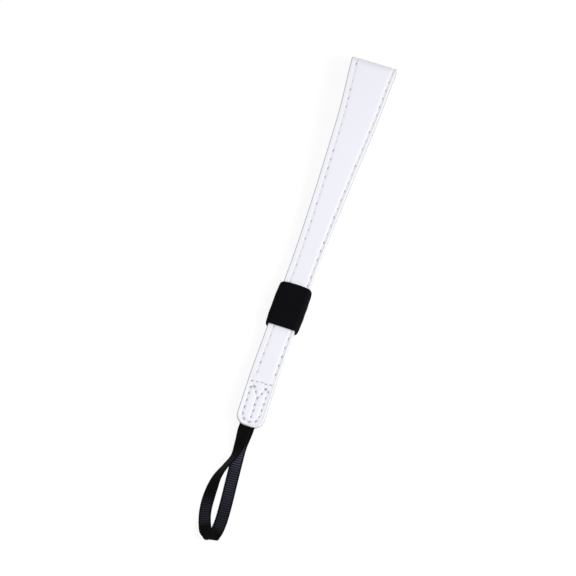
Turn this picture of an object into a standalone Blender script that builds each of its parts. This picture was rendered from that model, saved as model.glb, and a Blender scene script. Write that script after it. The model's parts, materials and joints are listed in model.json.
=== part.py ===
"""Camera wrist strap, lying as it comes to rest.

A tapered strip of white leather with a lining is folded double. Its two narrow ends are sewn
together over the ends of a small ribbed webbing loop, and an elastic keeper slides along both legs.
The strap runs along +Y towards its fold, and the origin is on the ground under its middle.
"""

import math

import bmesh
import bpy
from mathutils import Vector

MM = 0.001

# Places along the strap, measured from the tip of the sewn end towards the fold
FOLD_END = 184 * MM
EDGE_ROW_START = 24.4 * MM
BAR_SEAM_AT = 20 * MM
KEEPER_AT = 47.5 * MM
KEEPER_DOWN = 16 * MM
KEEPER_UP = 20 * MM
LEGS_PART_OVER = 26 * MM
END_CLOSES_OVER = 10 * MM
LOOP_REACH = 52.6 * MM

# Leather strip
STRIP_NARROW = 12.1 * MM
STRIP_WIDE = 21.6 * MM
WIDE_RUN = 4 * MM
TAPER_RUN = 104 * MM
TAPER_POWER = 1.45
TIP_RADIUS = 4.5 * MM
FOLD_RADIUS = 5.3 * MM
OUTER_THICKNESS = 0.8 * MM
LINING_THICKNESS = 0.45 * MM
LINING_TRIM = 0.25 * MM
LAYER_GAP = 0.15 * MM
LEG_GAP = 0.3 * MM
EDGE_ROUND = 0.3 * MM
EDGE_ROUND_ACROSS = 0.4 * MM
LEG_SLIP = 0.1 * MM
FOLD_SET = 1.2 * MM
FOLD_SET_RUN = 34 * MM
END_DRIFT = 0.4 * MM

# Stitching
SEAM_MARGIN = 2.3 * MM
THREAD_RADIUS = 0.16 * MM
EDGE_PITCH = 4.4 * MM
GROOVE_DEPTH = 0.5 * MM
GROOVE_HALF = 0.55 * MM
EDGE_THREAD_WAVE = 0.05 * MM
END_PITCH = 3.0 * MM
END_THREAD_WAVE = 0.08 * MM
END_THREAD_GAP = 0.04 * MM
BOX_SEAM_FOOT = 2.3 * MM
BOX_SEAM_HEAD = 17.5 * MM
BOX_SEAM_VALLEY = 13 * MM
BOX_SEAM_INNER_END = 4.6 * MM
BAR_SEAM_OVERRUN = 0.5 * MM

# Webbing loop
WEBBING_WIDTH = 5.4 * MM
WEBBING_THICKNESS = 0.7 * MM
WEBBING_VALLEY = 0.5 * MM
SELVEDGE = 0.8 * MM
SELVEDGE_THICKNESS = 0.4 * MM
RIB_PITCH = 1.2 * MM
WEBBING_SEWN_IN = 20 * MM
LOOP_SIDE = 0.65 * MM
LOOP_BEND_AT = 2.5 * MM
LOOP_BEND_RADIUS = 1.3 * MM
LOOP_BEND_SLIDE = 1.5 * MM
LOOP_BEND_LIFT = 0.15 * MM
LOOP_BEND_LEAD = 1.0 * MM
LOOP_BEND_BEARING = 17
LOOP_BEND_TWIST = 18

# Keeper
KEEPER_LENGTH = 20 * MM
KEEPER_WALL = 1.3 * MM
KEEPER_SIDE_SLACK = 0.3 * MM
KEEPER_SLACK = 0.25 * MM
KEEPER_CORNER = 2.3 * MM
KEEPER_ROUND = 0.25 * MM
KEEPER_SEAM_HALF = 1.5 * MM
KEEPER_SEAM_INSET = 1.4 * MM
KEEPER_SEAM_DEPTH = 0.4 * MM
KEEPER_SEAM_PITCH = 2.4 * MM
KEEPER_SEAT_MARGIN = 0.4 * MM
KEEPER_SEAT_SLOPE = 0.2 * MM
KEEPER_THREAD_GAP = 0.05 * MM
KEEPER_THREAD_RADIUS = 0.14 * MM

LEG = OUTER_THICKNESS + LAYER_GAP + LINING_THICKNESS
ORIGIN_Y = (FOLD_END - LOOP_REACH) / 2
FOLD_CENTRE = FOLD_END - FOLD_RADIUS
END_LIFT = 2 * THREAD_RADIUS + END_THREAD_GAP + END_THREAD_WAVE
LIFT = KEEPER_WALL + KEEPER_SLACK
STRAIGHT_FROM = KEEPER_AT - KEEPER_DOWN
STRAIGHT_TO = KEEPER_AT + KEEPER_LENGTH + KEEPER_UP
FLAT_END = STRAIGHT_FROM - END_CLOSES_OVER
WEBBING_STACK = 2 * WEBBING_THICKNESS + 3 * LAYER_GAP
LOW_END = END_LIFT + LEG + LAYER_GAP + WEBBING_THICKNESS / 2
HIGH_END = LOW_END + WEBBING_THICKNESS + LAYER_GAP
FOLD_STEPS = 20
TIP_STEPS = 5


def smooth(start, end, value):
    """0 before start and 1 after end, level at both."""
    t = min(max((value - start) / (end - start), 0.0), 1.0)
    return t * t * (3 - 2 * t)


def steps(start, end, count):
    """count + 1 even steps from start to end."""
    return [start + (end - start) * i / count for i in range(count + 1)]


def place(x, y, z):
    """A point given from the legs' middle line and the strap's tip, as one about the origin."""
    return Vector((x + FOLD_SET, y - ORIGIN_Y, z))


def under_height(y):
    """Height of the lower leg's outer face: on its seam, lifted by the keeper, then on the ground."""
    at_keeper = smooth(FLAT_END, STRAIGHT_FROM, y)
    past_keeper = smooth(STRAIGHT_TO, STRAIGHT_TO + LEGS_PART_OVER, y)
    return (END_LIFT + (LIFT - END_LIFT) * at_keeper) * (1 - past_keeper)


def top_height(y):
    """Height of the upper leg's outer face, from the sewn end up to the fold."""
    sewn = END_LIFT + 2 * LEG + WEBBING_STACK
    at_keeper = LIFT + 2 * LEG + LEG_GAP
    closed = sewn + (at_keeper - sewn) * smooth(FLAT_END, STRAIGHT_FROM, y)
    return closed + (2 * FOLD_RADIUS - at_keeper) * smooth(STRAIGHT_TO, FOLD_CENTRE, y)


def side_shift(y, upper):
    """How far the strip's middle lies off the axis: legs slip, the fold leans, the end drifts."""
    slip = LEG_SLIP / 2 * (1 - smooth(STRAIGHT_TO, FOLD_END, y))
    lean = FOLD_SET * smooth(FOLD_END - FOLD_SET_RUN, FOLD_END, y)
    drift = END_DRIFT * (1 - smooth(0, STRAIGHT_FROM, y))
    return (-slip if upper else slip) - lean + drift


class Strip:
    """The folded strip as stations along the joint between its layers, read by distance."""

    def __init__(self):
        depth = OUTER_THICKNESS + LAYER_GAP / 2
        run = [TIP_RADIUS * (1 - math.cos(a)) for a in steps(0, math.pi / 2, TIP_STEPS)]
        for start, end, count in (
            (TIP_RADIUS, FLAT_END, 2),
            (FLAT_END, STRAIGHT_FROM, 4),
            (STRAIGHT_FROM, STRAIGHT_TO, 5),
            (STRAIGHT_TO, STRAIGHT_TO + LEGS_PART_OVER, 5),
            (STRAIGHT_TO + LEGS_PART_OVER, FOLD_CENTRE, 7),
        ):
            run += steps(start, end, count)[1:]
        lower = [(side_shift(y, False), y, under_height(y) + depth) for y in run]
        upper = [(side_shift(y, True), y, top_height(y) - depth) for y in reversed(run)]
        bend = []
        for angle in steps(0, math.pi, FOLD_STEPS)[1:-1]:
            radius = FOLD_RADIUS - depth
            share = angle / math.pi
            y = FOLD_CENTRE + radius * math.sin(angle)
            x = side_shift(y, False) * (1 - share) + side_shift(y, True) * share
            bend.append((x, y, FOLD_RADIUS - radius * math.cos(angle)))
        self.points = [Vector(p) for p in lower + bend + upper]
        self.distance = [0.0]
        for a, b in zip(self.points, self.points[1:]):
            self.distance.append(self.distance[-1] + (b - a).length)
        self.length = self.distance[-1]
        self.outward = [self._outward(i) for i in range(len(self.points))]

    def _outward(self, i):
        """The direction out of the outer face, square to the strip's run."""
        before = self.points[max(i - 1, 0)]
        after = self.points[min(i + 1, len(self.points) - 1)]
        along = after - before
        return Vector((0, along.z, -along.y)).normalized()

    def at(self, distance):
        """(middle of the joint between the layers, outward direction) at a distance."""
        i = 0
        while i < len(self.points) - 2 and self.distance[i + 1] < distance:
            i += 1
        t = (distance - self.distance[i]) / (self.distance[i + 1] - self.distance[i])
        return (
            self.points[i].lerp(self.points[i + 1], t),
            self.outward[i].lerp(self.outward[i + 1], t),
        )

    def half_width(self, distance):
        """Half the strip's width there, as if its tips were square."""
        from_middle = abs(distance - self.length / 2)
        share = max(0.0, 1 - max(0.0, from_middle - WIDE_RUN) / TAPER_RUN)
        return (STRIP_NARROW + (STRIP_WIDE - STRIP_NARROW) * share**TAPER_POWER) / 2

    def half_width_on_facets(self, distance):
        """The half width between two stations, as the flat facets have it."""
        i = 0
        while i < len(self.points) - 2 and self.distance[i + 1] < distance:
            i += 1
        t = (distance - self.distance[i]) / (self.distance[i + 1] - self.distance[i])
        before, after = (self.half_width(self.distance[k]) for k in (i, i + 1))
        return before * (1 - t) + after * t

    def tip_share(self, distance):
        """How much of its width the strip keeps where its tips are rounded."""
        from_tip = min(distance, self.length - distance)
        if from_tip >= TIP_RADIUS:
            return 1.0
        lost = TIP_RADIUS - math.sqrt(max(0.0, TIP_RADIUS**2 - (TIP_RADIUS - from_tip) ** 2))
        return 1 - lost / self.half_width(distance)

    def point(self, distance, across, out):
        """A point of the strip, across from its middle and out from the joint of its layers."""
        middle, outward = self.at(distance)
        found = middle + outward * out
        return place(found.x + across, found.y, found.z)


STRIP = Strip()


def new_object(name, bm, material, sharp=40):
    """The finished mesh as an object, smooth but for its sharp edges."""
    bmesh.ops.recalc_face_normals(bm, faces=bm.faces)
    mesh = bpy.data.meshes.new(name)
    bm.to_mesh(mesh)
    bm.free()
    mesh.shade_smooth()
    mesh.set_sharp_from_angle(angle=math.radians(sharp))
    mesh.materials.append(material)
    obj = bpy.data.objects.new(name, mesh)
    bpy.context.collection.objects.link(obj)
    return obj


def loft(bm, rings, closed=False):
    """Skins rings of as many points each, and caps the ends unless the rings close on themselves."""
    made = [[bm.verts.new(point) for point in ring] for ring in rings]
    pairs = list(zip(made, made[1:]))
    if closed:
        pairs.append((made[-1], made[0]))
    for a, b in pairs:
        for i in range(len(a)):
            j = (i + 1) % len(a)
            bm.faces.new((a[i], a[j], b[j], b[i]))
    if not closed:
        bm.faces.new(reversed(made[0]))
        bm.faces.new(made[-1])


def thread(name, points, up, radius, finish):
    """A thread of diamond section along points, with its section's height along up."""
    rings = []
    for i, point in enumerate(points):
        along = (points[min(i + 1, len(points) - 1)] - points[max(i - 1, 0)]).normalized()
        across = along.cross(up).normalized() * radius
        rise = up * radius
        rings.append([point + across, point + rise, point - across, point - rise])
    bm = bmesh.new()
    loft(bm, rings)
    return new_object(name, bm, finish, sharp=180)


def material(name, colour, roughness):
    """A plain finish for one kind of piece."""
    made = bpy.data.materials.new(name)
    made.use_nodes = True
    shader = made.node_tree.nodes["Principled BSDF"]
    shader.inputs["Base Color"].default_value = (*colour, 1)
    shader.inputs["Roughness"].default_value = roughness
    shader.inputs["Metallic"].default_value = 0
    made.diffuse_color = (*colour, 1)
    return made


def outer_leather(finish):
    """The white strip: flat faces, rounded edges and a stitching groove near each edge."""
    face = LAYER_GAP / 2 + OUTER_THICKNESS
    rings = []
    for distance in STRIP.distance:
        half = STRIP.half_width(distance)
        keep = STRIP.tip_share(distance)
        groove = half - SEAM_MARGIN
        from_tip = min(distance, STRIP.length - distance)
        depth = GROOVE_DEPTH if from_tip > EDGE_ROW_START - EDGE_PITCH / 2 else 0.0
        right = [
            (half, face - EDGE_ROUND),
            (half - EDGE_ROUND_ACROSS, face),
            (groove + GROOVE_HALF, face),
            (groove, face - depth),
            (groove - GROOVE_HALF, face),
        ]
        left = [(-x, out) for x, out in reversed(right)]
        section = right + left + [(-half, LAYER_GAP / 2), (half, LAYER_GAP / 2)]
        rings.append([STRIP.point(distance, x * keep, out) for x, out in section])
    bm = bmesh.new()
    loft(bm, rings)
    return new_object("outer_leather", bm, finish, sharp=30)


def lining_leather(finish):
    """The lining: a little narrower, with its wrist-side edges eased."""
    rings = []
    for distance in STRIP.distance:
        half = STRIP.half_width(distance) - LINING_TRIM
        keep = STRIP.tip_share(distance)
        near, far = -LAYER_GAP / 2, -LAYER_GAP / 2 - LINING_THICKNESS
        section = [
            (half, near),
            (half, far + EDGE_ROUND),
            (half - EDGE_ROUND, far),
            (-half + EDGE_ROUND, far),
            (-half, far + EDGE_ROUND),
            (-half, near),
        ]
        rings.append([STRIP.point(distance, x * keep, out) for x, out in section])
    bm = bmesh.new()
    loft(bm, rings)
    return new_object("lining_leather", bm, finish, sharp=30)


def edge_stitch(name, side, finish):
    """One edge row's thread in its groove, from the bar seam round the fold and back."""
    run = STRIP.length - 2 * EDGE_ROW_START
    stitches = round(run / EDGE_PITCH)
    face = LAYER_GAP / 2 + OUTER_THICKNESS
    rings = []
    for i in range(3 * stitches + 1):
        distance = EDGE_ROW_START + run * i / (3 * stitches)
        across = side * (STRIP.half_width_on_facets(distance) - SEAM_MARGIN)
        dip = EDGE_THREAD_WAVE * (1 + math.cos(math.tau * i / 3))
        out = face - THREAD_RADIUS - dip
        r = THREAD_RADIUS
        corners = ((r, 0), (0, r), (-r, 0), (0, -r))
        rings.append([STRIP.point(distance, across + a, out + b) for a, b in corners])
    bm = bmesh.new()
    loft(bm, rings)
    return new_object(name, bm, finish, sharp=180)


def resampled(points, spacing):
    """The polyline's points again, an even number of thirds of a stitch apart."""
    total = sum((b - a).length for a, b in zip(points, points[1:]))
    count = 3 * max(1, round(total / (3 * spacing)))
    found, walked, i = [points[0]], 0.0, 0
    for k in range(1, count):
        wanted = total * k / count
        while walked + (points[i + 1] - points[i]).length < wanted:
            walked += (points[i + 1] - points[i]).length
            i += 1
        t = (wanted - walked) / (points[i + 1] - points[i]).length
        found.append(points[i].lerp(points[i + 1], t))
    return found + [points[-1]]


def smoothed(controls, per_span=8):
    """A smooth curve through control points of any number of values."""
    padded = [controls[0], *controls, controls[-1]]
    found = []
    for p0, p1, p2, p3 in zip(padded, padded[1:], padded[2:], padded[3:]):
        for t in steps(0, 1, per_span)[:-1]:
            found.append(
                tuple(
                    b + t / 2 * (c - a + t * (2 * a - 5 * b + 4 * c - d + t * (3 * (b - c) + d - a)))
                    for a, b, c, d in zip(p0, p1, p2, p3)
                )
            )
    return found + [tuple(controls[-1])]


def surface_thread(name, plan, upper, finish):
    """A thread that lies on the sewn end's upper or under face along a line seen in plan."""
    flat = resampled([Vector((x, y, 0)) for x, y in plan], END_PITCH / 3)
    way = 1 if upper else -1
    face = top_height(0) if upper else under_height(0)
    shift = side_shift(0, upper)
    points = []
    for i, spot in enumerate(flat):
        rise = END_THREAD_WAVE / 2 * (1 - math.cos(math.tau * i / 3))
        out = THREAD_RADIUS + END_THREAD_GAP + rise
        points.append(place(spot.x + shift, spot.y, face + way * out))
    return thread(name, points, Vector((0, 0, way)), THREAD_RADIUS, finish)


def box_seam_plan():
    """The end seam: two arches that meet in a valley, columns along the edges, a middle row."""
    column = STRIP_NARROW / 2 - SEAM_MARGIN
    foot, head, valley = BOX_SEAM_FOOT, BOX_SEAM_HEAD, BOX_SEAM_VALLEY
    arch = head - valley
    bend = valley - foot
    right = [
        (column * 0.14, valley + arch * 0.1),
        (column * 0.37, valley + arch * 0.52),
        (column * 0.68, head - arch * 0.02),
        (column * 0.95, head - arch * 0.06),
        (column, head - arch * 0.5),
        (column, foot + bend * 0.6),
        (column, foot + bend * 0.24),
        (column * 0.64, foot + bend * 0.05),
    ]
    left = [(-x, y) for x, y in reversed(right[1:])]
    middle = [(-column * 0.1, valley - arch * 0.2), (0, valley - arch * 0.6), (0, BOX_SEAM_INNER_END)]
    return smoothed(right + [(0, foot)] + left + middle)


def bar_seam_plan():
    """The row across the strap between the box seam and the edge rows."""
    half = STRIP_NARROW / 2 - SEAM_MARGIN + BAR_SEAM_OVERRUN
    return [(-half, BAR_SEAM_AT), (half, BAR_SEAM_AT)]


def loop_controls():
    """The webbing's middle line: x, y, height, then its cross direction's bearing and tilt.

    It leaves the sewn end, lies on the ground down the right of the loop, turns over itself at the
    bottom and comes back up the left, tipped on edge where it crosses to its place above the start.
    Places are shares of the loop's reach from where it leaves the end, and heights are in
    thicknesses of the webbing.
    """
    down = [
        (0.002, -0.018, LOW_END / WEBBING_THICKNESS, 0, 0),
        (0.002, -0.17, 1.7, 1, 0),
        (0.015, -0.333, 0.75, 3, 0),
        (0.031, -0.494, 0.5, 4, 0),
        (0.048, -0.656, 0.5, 3, 0),
        (0.058, -0.798, 0.5, 0, 0),
        (0.050, -0.89, 0.5, -4, 0),
    ]
    up = [
        (-0.014, -0.918, 4.05, 32, 3),
        (-0.041, -0.883, 3.3, 26, 8),
        (-0.071, -0.818, 2.2, 21, 12),
        (-0.091, -0.745, 1.6, 12, 12),
        (-0.101, -0.665, 1.1, 4, 8),
        (-0.099, -0.557, 1.5, -8, 14),
        (-0.082, -0.46, 2.6, -17, 30),
        (-0.046, -0.361, 3.8, -20, 42),
        (-0.009, -0.251, 4.6, -13, 42),
        (-0.006, -0.133, 4.7, -4, 16),
        (-0.004, -0.019, HIGH_END / WEBBING_THICKNESS, 0, 3),
    ]
    return down, up


def bend_controls():
    """The turn at the loop's bottom: a helix about a line across the loop, with a lead at each end."""
    bearing = math.radians(LOOP_BEND_BEARING)
    axis = Vector((math.cos(bearing), math.sin(bearing), 0))
    out = Vector((axis.y, -axis.x, 0))
    corner_reach = WEBBING_WIDTH / 2 * math.sin(bearing)
    crest = Vector((LOOP_BEND_AT, WEBBING_THICKNESS / 2 + corner_reach - LOOP_REACH, 0))
    found = []
    for share in steps(0, 1, 6):
        angle = math.pi * (share - 0.5)
        slide = LOOP_BEND_SLIDE * (0.5 - share)
        spot = crest + axis * slide + out * LOOP_BEND_RADIUS * (math.cos(angle) - 1)
        spot.z = LOOP_BEND_LIFT + WEBBING_THICKNESS / 2 + LOOP_BEND_RADIUS * (1 + math.sin(angle))
        found.append((*spot, LOOP_BEND_BEARING + LOOP_BEND_TWIST * (share - 0.5), 0))
    arc = out * math.pi * LOOP_BEND_RADIUS
    back = (arc - axis * LOOP_BEND_SLIDE).normalized() * LOOP_BEND_LEAD
    on = (-arc - axis * LOOP_BEND_SLIDE).normalized() * LOOP_BEND_LEAD
    first = Vector(found[0][:3]) - back
    last = Vector(found[-1][:3]) + on
    return [(*first, *found[0][3:]), *found, (*last, *found[-1][3:])]


def loop_line():
    """The webbing's whole middle line in metres, from one sewn-in end to the other."""
    down, up = (
        [
            (LOOP_SIDE + x * LOOP_REACH, y * LOOP_REACH, z * WEBBING_THICKNESS, *turn)
            for x, y, z, *turn in half
        ]
        for half in loop_controls()
    )
    start = [(down[0][0], y, LOW_END, 0, 0) for y in (WEBBING_SEWN_IN, WEBBING_SEWN_IN / 2)]
    end = [(up[-1][0], y, HIGH_END, 0, 0) for y in (WEBBING_SEWN_IN / 2, WEBBING_SEWN_IN)]
    return smoothed(start + down + bend_controls() + up + end)


def loop_frames():
    """(middle, across, out) along the webbing, half a rib apart."""
    line = loop_line()
    spots = [Vector(values[:3]) for values in line]
    walked = [0.0]
    for a, b in zip(spots, spots[1:]):
        walked.append(walked[-1] + (b - a).length)
    count = 2 * round(walked[-1] / RIB_PITCH)
    frames, i = [], 0
    for k in range(count + 1):
        wanted = walked[-1] * k / count
        while i < len(spots) - 2 and walked[i + 1] < wanted:
            i += 1
        t = (wanted - walked[i]) / (walked[i + 1] - walked[i])
        bearing, tilt = (
            math.radians(line[i][v] * (1 - t) + line[i + 1][v] * t) for v in (3, 4)
        )
        across = Vector(
            (
                math.cos(bearing) * math.cos(tilt),
                math.sin(bearing) * math.cos(tilt),
                math.sin(tilt),
            )
        )
        along = (spots[i + 1] - spots[i]).normalized()
        across = (across - along * across.dot(along)).normalized()
        frames.append((spots[i].lerp(spots[i + 1], t), across, across.cross(along)))
    return frames


def webbing_loop(finish):
    """The webbing: a ribbed middle between plain selvedges, one loop with both ends sewn in."""
    rings = []
    inner = WEBBING_WIDTH / 2 - SELVEDGE
    for k, (middle, across, out) in enumerate(loop_frames()):
        sewn = middle.y > -RIB_PITCH
        if sewn and k % 8:
            continue
        rib = (WEBBING_THICKNESS if k % 2 else WEBBING_VALLEY) / 2
        edge = SELVEDGE_THICKNESS / 2
        section = [
            (WEBBING_WIDTH / 2, edge),
            (inner, rib),
            (-inner, rib),
            (-WEBBING_WIDTH / 2, edge),
            (-WEBBING_WIDTH / 2, -edge),
            (-inner, -rib),
            (inner, -rib),
            (WEBBING_WIDTH / 2, -edge),
        ]
        ring = []
        for x, lift in section:
            spot = middle + across * x + out * lift
            ring.append(place(spot.x, spot.y, spot.z))
        rings.append(ring)
    bm = bmesh.new()
    loft(bm, rings)
    return new_object("webbing_loop", bm, finish, sharp=25)


def rounded_box(width, height, radius, per_corner):
    """Points round a box with round corners, centred on its middle."""
    found = []
    for quarter in range(4):
        angle = math.pi / 2 * quarter
        signs = ((1, 1), (-1, 1), (-1, -1), (1, -1))[quarter]
        corner = (signs[0] * (width / 2 - radius), signs[1] * (height / 2 - radius))
        for turn in steps(0, math.pi / 2, per_corner - 1):
            x = corner[0] + radius * math.cos(angle + turn)
            z = corner[1] + radius * math.sin(angle + turn)
            found.append((x, z))
    return found


def keeper_size():
    """(inner width, inner height, height of its middle) of the elastic ring."""
    width = STRIP_NARROW + LEG_SLIP + 2 * KEEPER_SIDE_SLACK
    height = 2 * LEG + LEG_GAP + 2 * KEEPER_SLACK
    return width, height, KEEPER_WALL + height / 2


def keeper_band(finish):
    """The elastic ring, with soft edges and a shallow seat for its closing seam underneath."""
    width, height, middle = keeper_size()
    per_corner = 5
    rings = []

    def ring(y, grown):
        """One loop round the keeper, that much outside its inner wall."""
        corner = KEEPER_CORNER - KEEPER_WALL + grown
        points = rounded_box(width + 2 * grown, height + 2 * grown, corner, per_corner)
        lift = KEEPER_SEAM_DEPTH if grown > KEEPER_WALL / 2 else 0.0
        seat = KEEPER_SEAM_HALF + KEEPER_SEAT_MARGIN
        floor = -height / 2 - grown
        under = 3 * per_corner
        points[under:under] = [
            (-seat, floor),
            (-seat + KEEPER_SEAT_SLOPE, floor + lift),
            (seat - KEEPER_SEAT_SLOPE, floor + lift),
            (seat, floor),
        ]
        rings.append([place(x, y, z + middle) for x, z in points])

    low, high = KEEPER_AT, KEEPER_AT + KEEPER_LENGTH
    ring(low, 0.0)
    ring(low, KEEPER_WALL - KEEPER_ROUND)
    ring(low + KEEPER_ROUND, KEEPER_WALL)
    ring((low + high) / 2, KEEPER_WALL)
    ring(high - KEEPER_ROUND, KEEPER_WALL)
    ring(high, KEEPER_WALL - KEEPER_ROUND)
    ring(high, 0.0)
    ring((low + high) / 2, 0.0)
    bm = bmesh.new()
    loft(bm, rings, closed=True)
    return new_object("keeper_band", bm, finish, sharp=50)


def keeper_seam(finish):
    """The zigzag thread in its seat under the keeper, where the ring's ends meet."""
    low = KEEPER_AT + KEEPER_SEAM_INSET
    run = KEEPER_LENGTH - 2 * KEEPER_SEAM_INSET
    turns = 2 * round(run / KEEPER_SEAM_PITCH)
    height = KEEPER_SEAM_DEPTH - KEEPER_THREAD_RADIUS - KEEPER_THREAD_GAP
    half = KEEPER_SEAM_HALF - KEEPER_THREAD_RADIUS
    corners = [(half * (-1) ** i, low + run * i / turns) for i in range(turns + 1)]
    points = [place(x, y, height) for x, y in smoothed(corners, per_span=3)]
    return thread("keeper_seam", points, Vector((0, 0, -1)), KEEPER_THREAD_RADIUS, finish)


def main():
    for obj in list(bpy.data.objects):
        bpy.data.objects.remove(obj)
    leather = material("white_leather", (0.83, 0.83, 0.88), 0.45)
    lining = material("lining_leather", (0.78, 0.78, 0.8), 0.6)
    white_thread = material("white_thread", (0.85, 0.85, 0.88), 0.6)
    webbing = material("black_webbing", (0.012, 0.012, 0.018), 0.75)
    elastic = material("black_elastic", (0.008, 0.008, 0.012), 0.9)
    black_thread = material("black_thread", (0.02, 0.02, 0.024), 0.7)
    outer_leather(leather)
    lining_leather(lining)
    edge_stitch("edge_stitch_left", -1, white_thread)
    edge_stitch("edge_stitch_right", 1, white_thread)
    surface_thread("end_seam_top", box_seam_plan(), True, white_thread)
    surface_thread("end_seam_under", box_seam_plan(), False, white_thread)
    surface_thread("bar_seam_top", bar_seam_plan(), True, white_thread)
    surface_thread("bar_seam_under", bar_seam_plan(), False, white_thread)
    webbing_loop(webbing)
    keeper_band(elastic)
    keeper_seam(black_thread)


main()
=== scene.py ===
"""Looks of a camera wrist strap, laid out as a Blender add-on.

The leather, its stitching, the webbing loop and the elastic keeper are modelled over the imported
frame, in metres and in its axes: +Y runs from the webbing loop to the fold, and +Z is up.
"""

import json
import math
import random

import bmesh
import bpy
import numpy as np
from bpy.props import FloatProperty, FloatVectorProperty, IntProperty, PointerProperty
from mathutils import Matrix, Vector


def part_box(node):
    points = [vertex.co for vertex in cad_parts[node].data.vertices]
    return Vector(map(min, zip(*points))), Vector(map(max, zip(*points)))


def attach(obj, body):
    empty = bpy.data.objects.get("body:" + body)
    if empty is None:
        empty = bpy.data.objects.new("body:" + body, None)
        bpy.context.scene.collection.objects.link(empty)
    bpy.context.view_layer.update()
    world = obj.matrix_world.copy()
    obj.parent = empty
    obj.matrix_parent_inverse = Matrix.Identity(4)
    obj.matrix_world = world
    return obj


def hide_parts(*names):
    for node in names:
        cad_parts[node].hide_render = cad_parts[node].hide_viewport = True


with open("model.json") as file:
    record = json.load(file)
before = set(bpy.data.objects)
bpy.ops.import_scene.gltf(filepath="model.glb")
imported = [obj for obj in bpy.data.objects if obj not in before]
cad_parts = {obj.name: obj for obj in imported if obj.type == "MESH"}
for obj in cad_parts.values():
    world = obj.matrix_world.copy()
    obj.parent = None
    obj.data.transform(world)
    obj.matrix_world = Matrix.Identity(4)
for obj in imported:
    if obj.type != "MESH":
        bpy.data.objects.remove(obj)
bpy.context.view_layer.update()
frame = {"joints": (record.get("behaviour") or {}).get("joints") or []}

bl_info = {
    "name": "Camera Wrist Strap",
    "version": (1, 0, 0),
    "blender": (4, 5, 0),
    "location": "3D View > Sidebar > Wrist Strap",
    "description": "Folded leather wrist strap with stitching, a webbing loop and an elastic keeper",
    "category": "Object",
}

MM = 0.001
SEED = 7

# Read from the frame
LEATHER_LOW, LEATHER_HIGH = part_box("outer_leather")
KEEPER_LOW, KEEPER_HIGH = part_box("keeper_band")
SLIDE_DOWN, SLIDE_UP = frame["joints"][0]["range_m"]
TIP_Y = LEATHER_LOW.y
FOLD_END = LEATHER_HIGH.y - TIP_Y
FOLD_RADIUS = LEATHER_HIGH.z / 2
FOLD_CENTRE = FOLD_END - FOLD_RADIUS
STRIP_WIDE = LEATHER_HIGH.x - LEATHER_LOW.x
KEEPER_AT = KEEPER_LOW.y - TIP_Y
KEEPER_LENGTH = KEEPER_HIGH.y - KEEPER_LOW.y
STRAIGHT_FROM = KEEPER_AT + SLIDE_DOWN
STRAIGHT_TO = KEEPER_AT + KEEPER_LENGTH + SLIDE_UP

# How finely the strip is cut: over an edge, along a row, between the rows, and along its run
EDGE_CUTS = 7
ROW_CUTS = 13
ROW_REACH = 0.98 * MM
OUTER_CUTS = 22
LINING_CUTS = 8
RINGS_A_STITCH = 12
LINING_STEP = 0.7 * MM

# The leather's cut wall, as heights over its back and how far in each lies, the share of its half
# width at which its back has a point, and the run in which its margin's colour comes in
CUT_HEIGHTS = np.array([0.0, 0.12, 0.3]) * MM
CUT_INSETS = np.array([0.08, 0.02, 0.0]) * MM
BACK_SHARE = 0.7
MARGIN_BLEND = 0.9 * MM

# Runs in from an edge in which the hollows of the seams set in, on the leather and on the lining
OUTER_SETTLES = (0.2 * MM, 1.2 * MM)
LINING_SETTLES = (0.4 * MM, 1.4 * MM)

# The lining's edge radius, grooves and needle holes as shares of the leather's
LINING_EDGE = 0.6
LINING_GROOVE = 0.6
LINING_HOLE = 0.7

# How strongly a needle hole is pulled in, at least and at most, in the edge rows and the end seams
EDGE_PULL = (0.4, 0.72)
END_PULL = (0.62, 1.0)

# A thread's points along a stitch and round it, its height as a share of its width, its tip as a
# share of its radius, and how deep a stitch is pressed into the face
STITCH_CUTS = 11
THREAD_SIDES = 8
THREAD_FLAT = 0.82
THREAD_TIP = 0.02
THREAD_PRESS = 0.02 * MM

# The webbing's points a span of its route, those of its turn, and its rings for each rib
LOOP_CUTS = 24
TURN_POINTS = 7
RINGS_A_RIB = 8

# How deep in the sewn end the webbing's mesh starts, how far its selvedges lie below its ribs, and
# the share of its width by which they wave
WEBBING_HIDDEN = 6 * MM
SELVEDGE_SINK = 0.05 * MM
SELVEDGE_WAVE = 0.012

# The keeper's points round it and a corner, its rows for each rib and over a selvedge, the slope at
# the side of its seam's seat, and the rise of an outward direction below which its face is flat
KEEPER_SIDES = 200
KEEPER_CORNER_CUTS = 12
ROWS_A_RIB = 6
CURL_CUTS = 9
SEAT_SLOPE = 0.5 * MM
FACING_DOWN = -0.9

# A zigzag stitch's points, how much of its radius it lies out of its seat, and how deep it dives
# at its turns
ZIGZAG_CUTS = 9
ZIGZAG_OUT = 0.6
ZIGZAG_DIVE = 0.25 * MM

# Painted shade between a thread's plies: the colour there as a share of the thread's own
PLY_SHADE = 0.72

# The strength of the floor's own white, and how much of the floor it makes up where it is seen
FLOOR_WHITE = 1.06
FLOOR_WHITE_SHARE = 0.84


def length(name, millimetres, description):
    """A length in metres that the panel shows and a user can change."""
    return FloatProperty(
        name=name,
        description=description,
        default=millimetres * MM,
        min=0.0,
        unit="LENGTH",
        precision=5,
    )


def number(name, value, description, **more):
    """A plain number that the panel shows and a user can change."""
    return FloatProperty(name=name, description=description, default=value, **more)


def colour(name, value, description):
    """A linear colour that the panel shows and a user can change."""
    return FloatVectorProperty(
        name=name,
        description=description,
        default=value,
        min=0.0,
        max=1.0,
        size=3,
        subtype="COLOR",
    )


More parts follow.
